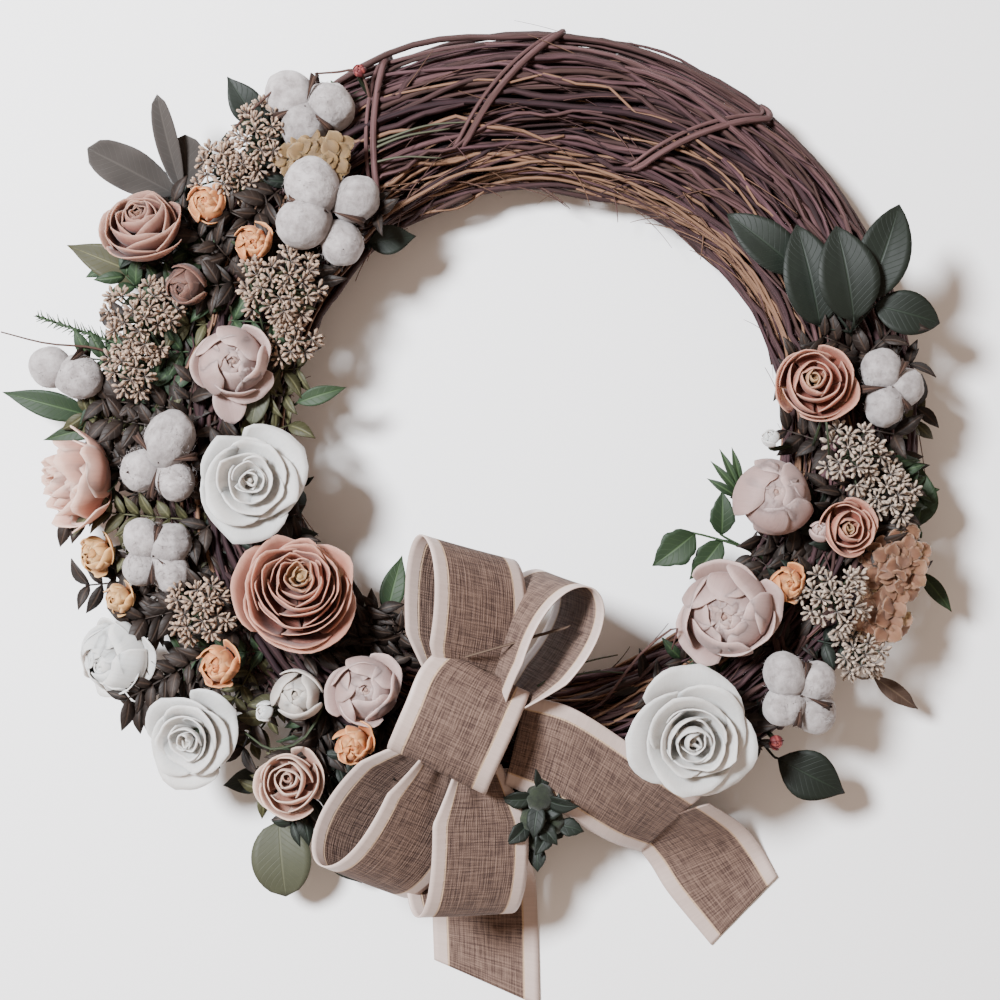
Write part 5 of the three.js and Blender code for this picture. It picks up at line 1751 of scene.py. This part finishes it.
BLOOMS = (
    Bloom("rose_white_right", BloomKind.ROSE, (86, -174, 88), 42, (296, 8), "white"),
    Bloom("rose_white_left", BloomKind.OPEN_ROSE, (-163, -31, 80), 36, (10, 10), "white"),
    Bloom("ranunculus_large", BloomKind.RANUNCULUS, (-136, -97, 80), 37, (80, 20), "dusty", heart_off=0.3),
    Bloom("rose_white_low", BloomKind.OPEN_ROSE, (-199, -178, 60), 33, (222, 14), "white"),
    Bloom("peony_blush_right", BloomKind.PEONY, (108, -106, 76), 31, (200, 12), "blush"),
    Bloom("peony_blush_bud", BloomKind.PEONY_BUD, (135, -40, 74), 25, (100, 12), "blush"),
    Bloom("peony_blush_left", BloomKind.PEONY, (-173, 37, 76), 24, (340, 12), "blush", 17),
    Bloom("peony_pink_left", BloomKind.RUFFLED, (-264, -30, 52), 33, (183, 62), "old_pink"),
    Bloom("peony_pale_left", BloomKind.PEONY, (-246, -134, 48), 26, (205, 32), "white", 20, slot=Slot.BLUSH),
    Bloom("ranunculus_blush", BloomKind.PEONY, (-97, -150, 78), 23, (60, 10), "blush", 16),
    Bloom("ranunculus_top_left", BloomKind.CUP, (-226, 113, 62), 26, (105, 38), "dusty_deep", 22, 0.25),
    Bloom("ranunculus_bud_left", BloomKind.BUD, (-201, 81, 68), 15, (230, 20), "rosewood"),
    Bloom("ranunculus_right", BloomKind.CUP, (159, 24, 74), 24, (120, 10), "dusty", 17, 0.12),
    Bloom("ranunculus_right_low", BloomKind.CUP, (176, -58, 75), 18, (20, 15), "dusty", 15),
    Bloom("ranunculus_low", BloomKind.CUP, (-141, -206, 62), 22, (110, 14), "dusty_pale", 16, 0.15),
    Bloom("rosebud_white", BloomKind.BUD, (-136, -153, 76), 17.5, (90, 10), "cream"),
    Bloom("pompon_top", BloomKind.POMPON, (-189, 128, 68), 14, (90, 6), "orange"),
    Bloom("pompon_upper", BloomKind.POMPON, (-162, 105, 72), 13.5, (0, 8), "orange"),
    Bloom("pompon_far_left", BloomKind.POMPON, (-256, -73, 50), 14, (200, 25), "gold"),
    Bloom("pompon_left", BloomKind.POMPON, (-242, -99, 54), 11.5, (200, 20), "gold"),
    Bloom("pompon_low_left", BloomKind.POMPON, (-181, -136, 74), 15, (180, 8), "orange"),
    Bloom("pompon_low", BloomKind.POMPON, (-104, -180, 82), 14, (270, 8), "orange"),
    Bloom("pompon_right", BloomKind.POMPON, (143, -89, 74), 12.5, (0, 5), "orange"),
    Bloom("bud_by_ranunculus", BloomKind.BUD, (161, -59, 76), 8, (120, 25), "blush", 7),
    Bloom("bud_by_peony", BloomKind.BUD, (134, -6, 70), 6.5, (110, 45), "white", 6),
    Bloom("bud_by_rosebud", BloomKind.BUD, (-156, -163, 64), 7.5, (160, 40), "white", 6),
    Bloom("bud_red_top", BloomKind.BUD, (-102, 207, 58), 4.5, (90, 30), "red", 6),
    Bloom("bud_red_low", BloomKind.BUD, (137, -180, 72), 5, (300, 20), "red", 6),
)


@dataclass
class Blooms:
    """The silk blooms with their sepals and stems."""

    first_seed: int = 500
    back_seed: int = 77
    sepal_length: float = 0.75

    def build(self) -> None:
        """Builds each bloom as a piece of its own, and the sepals and stems as another.

        The small buds, whose names start with bud_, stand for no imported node.
        """
        sheets = {"fine": sheet_template(14, 11), "plain": sheet_template(10, 8), "heart": ball_template(3)}
        for seed, bloom in enumerate(BLOOMS, self.first_seed):
            stands_for = [] if bloom.node.startswith("bud_") else [bloom.node]
            bloom.petals(sheets, seed).settle(f"{bloom.node}_petals", bloom.silk, stands_for, bloom.slot)
        self.backs()

    def backs(self) -> None:
        """Builds the sepals under each bloom and the stem that stands in the ring."""
        blade, rod = sheet_template(4, 6), rod_template(6, 8)
        thinned = STEM_RADIUS * (1.6 - 0.6 * np.minimum(rod.share * 4, 1))
        made = Cluster()
        source = np.random.default_rng(self.back_seed)
        for bloom in BLOOMS:
            axis, radius = direction(*bloom.lean), bloom.radius
            axes = frame_on(axis)
            foot = np.array(bloom.at) - axis * radius * 0.5
            for i in range(5):
                tip = foot + self.sepal_length * radius * (0.75 * side_of(axes, i * 72) + 0.25 * axis)
                sepal = Leaf(foot + axis * 0.05 * radius, tip, radius * 0.42, arch=-0.12)
                sepal.add_to(made, blade, source.uniform())
            root = ring_under(foot)
            path = bezier([foot + axis * 0.06 * radius, foot - axis * 6.0, foot * 0.4 + root * 0.6, root])
            made.add_rod(rod, path, thinned, (5, np.linalg.norm(root - foot)), 0.0, source.uniform())
        made.settle("bloom_stems", "stem")


@dataclass
class SeedHeads:
    """Green seed heads with little leaves, hanging under the bow."""

    seed: int = 3
    first_ball_seed: int = 60
    balls: tuple[Lobe, ...] = ((2, -212, 66, 9), (-2, -225, 62, 9), (9, -228, 58, 8), (2, -238, 54, 8.5))

    def build(self) -> None:
        """Builds the heads and their leaves as two pieces."""
        ball, blade, rod = ball_template(4), sheet_template(6, 8), rod_template(6, 8)
        made, leaves = Cluster(), Cluster()
        source = np.random.default_rng(self.seed)
        turn = np.arctan2(ball.points[:, 1], ball.points[:, 0])
        for number, (x, y, z, radius) in enumerate(self.balls):
            lumps = ripple(ball.points, 1.2, self.first_ball_seed + number)
            ridged = 0.9 + 0.07 * np.abs(np.cos(turn * 4)) + 0.03 * lumps
            points = np.array([x, y, z]) + ball.points * (radius * ridged)[:, None]
            made.add(ball, points, ball.points[:, :2] * radius, 0.0, source.uniform())
            for i in range(4):
                angle = math.radians(90 * i + 35 * number + source.uniform(-20, 20))
                way = np.array([math.cos(angle), math.sin(angle), source.uniform(-0.1, 0.35)])
                base = np.array([x, y, z + radius * 0.2]) + way * radius * 0.4
                tip = base + way * source.uniform(15, 22)
                leaf = Leaf(base, tip, 11.0, teeth=0.15, roll=source.uniform(-35, 35))
                leaf.add_to(leaves, blade, source.uniform())
        path = bezier([ring_under((3, -205, 40)), (3, -208, 56), (1, -222, 60)])
        leaves.add_rod(rod, path, STEM_RADIUS, (4, 40), 0.0, 0.5)
        made.settle("seed_head_balls", "seed", ["berry_cluster"])
        leaves.settle("seed_head_leaves", "dark", ["berry_cluster"], Slot.SEED_HEADS)


@dataclass(frozen=True)
class Loop:
    """One ribbon loop: where it leaves the knot, its far end, how its width lies, and its bulge."""

    start: Point
    end: Point
    width: Point
    bulge: float


@dataclass
class Bow:
    """The bow of one wired burlap ribbon: five loops, the knot and two tails."""

    ribbon: float = 64.0
    thickness: float = 0.8
    gathered: float = 0.35
    # How far round its turn a loop starts and ends, in radians from the knot.
    held_back: float = 0.55
    loops: tuple[Loop, ...] = (
        Loop((-43, -164, 83), (-38, -68, 102), (0.79, -0.23, -0.57), 32),
        Loop((-26, -166, 82), (17, -86, 92), (0.38, -0.1, 0.92), 36),
        Loop((-48, -176, 83), (-102, -256, 76), (0.66, -0.4, -0.64), 42),
        Loop((-34, -184, 77), (-42, -280, 62), (0.84, -0.08, -0.54), 28),
    )
    cover_width: Point = (0.84, -0.46, -0.28)
    # Places of the covering loop's middle line, each with how far the ribbon is opened there.
    cover: tuple[tuple[float, float, float, float], ...] = (
        (-32, -158, 82, 0.5),
        (-27, -142, 92, 0.75),
        (-29, -137, 102, 0.9),
        (-37, -148, 110, 1),
        (-45, -166, 112, 1),
        (-52, -182, 107, 1),
        (-56, -193, 95, 1),
        (-53, -190, 84, 0.9),
        (-44, -181, 79, 0.6),
    )
    # Each tail piece's name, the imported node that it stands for, its middle line and its half widths.
    tails: tuple[tuple[str, str, tuple[Point, ...], tuple[Point, ...]], ...] = (
        (
            "bow_tail_bottom",
            "bow_tail_bottom",
            (
                (-34, -196, 69),
                (-34, -222, 58),
                (-33, -250, 30),
                (-31, -268, 9),
                (-30, -292, 2.4),
                (-29, -336, 1.4),
            ),
            ((20, 0, -3), (22, 0, -2), (27, 0, 0), (31, 0, 0), (32, 0, 0), (32, -14, 0)),
        ),
        (
            "bow_tail_right",
            "bow_tail_right",
            ((-12, -178, 78), (12, -187, 74), (36, -203, 64), (60, -221, 50), (80, -234, 32)),
            ((6, 26, 8), (8, 28, 10), (12, 26, 9), (14, 23, 16), (16, 20, 19)),
        ),
        (
            "bow_tail_end",
            "bow_tail_right",
            ((77, -229, 36), (97, -249, 12), (110, -267, 4), (128, -292, 1.6)),
            ((24, 10, 14), (27, 13, 5), (28, 14, 0), (20, 21, 0)),
        ),
    )
    knot_centre: Point = (-36.0, -172.0, 80.0)
    knot_half: Point = (3.0, 24.0, -3.0)

    def build(self) -> None:
        """Builds each loop, the covering loop, the tails and the knot as sheets of cloth."""
        sheet = sheet_template(20, 72)
        for number, loop in enumerate(self.loops, 1):
            self.strip(f"bow_loop_{number}", sheet, *self.loop_path(loop), "bow_loops", 2.4)
        row = np.array(self.cover, float)
        half = unit(np.array(self.cover_width)) * self.ribbon / 2
        opened = bezier(row[:, 3:])
        self.strip("bow_loop_cover", sheet, bezier(row[:, :3]), lambda t: opened(t) * half, "bow_loops", 1.2)
        for name, node, middles, halves in self.tails:
            self.strip(f"{name}_cloth", sheet, bezier(middles), bezier(halves), node, 0.8)
        self.knot()

    def loop_path(self, loop: Loop) -> tuple[Path, Path]:
        """Gives the middle line and half width of a loop.

        Args:
            loop: The loop.

        Returns:
            Two functions of the share of its length.
        """
        start = np.array(loop.start, float)
        along = np.array(loop.end, float) - start
        half = unit(np.array(loop.width, float)) * self.ribbon / 2
        out = unit(np.cross(half, along))
        out = out if out[2] >= 0 else -out

        def turned(t: Array) -> Array:
            """How far round the loop each share is, in radians."""
            return self.held_back + (FULL_TURN - 2 * self.held_back) * np.clip(t, 0, 1)

        def middle(t: Array) -> Array:
            """The loop's middle line.

            Args:
                t: Shares of its length.

            Returns:
                The places in mm.
            """
            turn = turned(t)
            rise = 0.65 * loop.bulge * np.sin(turn) * np.sin(turn / 2)
            return start + along * ((1 - np.cos(turn)) / 2)[:, None] + out * rise[:, None]

        def width(t: Array) -> Array:
            """The loop's half width."""
            opened = np.minimum(1.0, self.gathered + 1.6 * (1 - np.cos(turned(t))) / 2)
            return half * opened[:, None]

        return middle, width

    def strip(self, name: str, sheet: Template, middle: Path, half: Path, node: str, pleats: float) -> None:
        """Args:
            name: The piece's name.
            sheet: The sheet template.
            middle: The middle line, of the share of its length.
            half: The half width, of the same share.
            node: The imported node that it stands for.
            pleats: How deep it is pleated where it is gathered, in mm.
        """
        steps = np.linspace(0, 1, 200)
        line = middle(steps)
        gone = np.concatenate([[0], np.cumsum(np.linalg.norm(np.diff(line, axis=0), axis=1))])
        length = float(gone[-1])

        def surface(u: Array, v: Array) -> Array:
            """Places of the ribbon.

            Args:
                u: Places across it, -1 to 1.
                v: Places along it, 0 to 1.

            Returns:
                The places in mm.
            """
            t = np.interp(v * length, gone, steps)
            here, across = middle(t), half(t)
            ahead = middle(np.minimum(t + 0.01, 1)) - middle(np.maximum(t - 0.01, 0))
            out = unit(np.cross(across, ahead))
            narrow = 1 - np.linalg.norm(across, axis=1) / (self.ribbon / 2)
            crease = pleats * np.clip(narrow, 0, 1) * np.cos(u * 3 * math.pi)
            sag = 0.5 * np.sin(v * 9 + u * 1.3)
            return here + across * u[:, None] + out * (crease + sag)[:, None]

        u, v, _ = sheet.points.T
        made = Cluster()
        uv = np.stack([u * self.ribbon / 2, v * length], axis=1)
        made.add(sheet, wrap(sheet, surface, self.thickness), uv, 0.0, 0.5)
        piece = made.settle(name, "burlap", [node])

    def knot(self) -> None:
        """Winds a gathered turn of ribbon round the loops' roots as the knot."""

        def middle(t: Array) -> Array:
            """The knot's middle line, once round the roots.

            Args:
                t: Shares of its length.

            Returns:
                The places in mm.
            """
            turn = FULL_TURN * t
            offset = np.stack([16 * np.cos(turn), 3 * np.sin(turn), 10 * np.sin(turn)], axis=1)
            return np.array(self.knot_centre) + offset

        def half(t: Array) -> Array:
            """The knot's half width."""
            return np.tile(np.array(self.knot_half), (len(t), 1))

        self.strip("bow_knot", sheet_template(16, 48), middle, half, "bow_loops", 2.0)


@dataclass
class Studio:
    """A pale floor, soft light and a camera straight above the wreath's face, places in metres."""

    eye: Point = (0.0112, 0.0154, 1.1)
    lens: float = 64.85
    floor_colour: str = "f7f6f6"
    floor_size: float = 12.0
    key_power: float = 150.0
    key_size: float = 0.45
    key_place: Point = (-0.95, 0.55, 1.75)
    key_aim: Point = (0.01, 0.0, 0.05)
    key_colour: str = "f6faff"
    fill_colour: str = "ffe2cc"
    fill: float = 0.55

    def build(self) -> None:
        """Builds the camera, the light, the room and the floor."""
        camera = bpy.data.cameras.new("camera")
        camera.lens = self.lens
        camera.sensor_width = 36.0
        view = bpy.data.objects.new("camera", camera)
        view.location = self.eye
        bpy.context.scene.collection.objects.link(view)
        bpy.context.scene.camera = view
        lamp = bpy.data.lights.new("key", "AREA")
        lamp.shape = "DISK"
        lamp.size = self.key_size
        lamp.energy = self.key_power
        lamp.color = linear(self.key_colour)[:3]
        key = bpy.data.objects.new("key", lamp)
        key.location = self.key_place
        aim = np.array(self.key_aim) - np.array(self.key_place)
        tilt = math.atan2(math.hypot(aim[0], aim[1]), -aim[2])
        key.rotation_euler = (tilt, 0.0, math.atan2(aim[1], aim[0]) - math.pi / 2)
        bpy.context.scene.collection.objects.link(key)
        world = bpy.data.worlds.new("room")
        bpy.context.scene.world = world
        world.use_nodes = True
        sky = world.node_tree.nodes["Background"]
        sky.inputs["Color"].default_value = linear(self.fill_colour)
        sky.inputs["Strength"].default_value = self.fill
        self.floor()

    def floor(self) -> None:
        """Builds the floor, just under the wreath's back."""
        bpy.ops.object.select_all(action="DESELECT")
        bpy.ops.mesh.primitive_plane_add(size=self.floor_size, location=(0, 0, -0.0004))
        floor = bpy.context.object
        floor.name = "floor"
        shader = Shader("painted_floor")
        place = shader.node(PLACE, {})["Object"]
        grain = shader.node(NOISE, {"Vector": place, "Scale": 500.0, "Detail": 3.0})[0]
        fills = {"Base Color": linear(self.floor_colour), "Roughness": 0.9}
        relief = {"Strength": 0.1, "Distance": 0.0004, "Height": grain}
        floor.data.materials.append(shader.finish(fills, relief))
        floor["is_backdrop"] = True


def write_size() -> None:
    boxes = {"cad": CAD_BOX, "visual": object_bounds()}
    plain = {key: [list(map(float, corner)) for corner in box] for key, box in boxes.items()}


def main() -> None:
    """Builds the wreath's sub-assemblies in order and the room round them."""
    VineRing().build()
    Greenery().build()
    FillerHeads().build()
    Hydrangeas().build()
    CottonBolls().build()
    Blooms().build()
    SeedHeads().build()
    Bow().build()
    Studio().build()
    write_size()


if __name__ == "__main__":
    main()
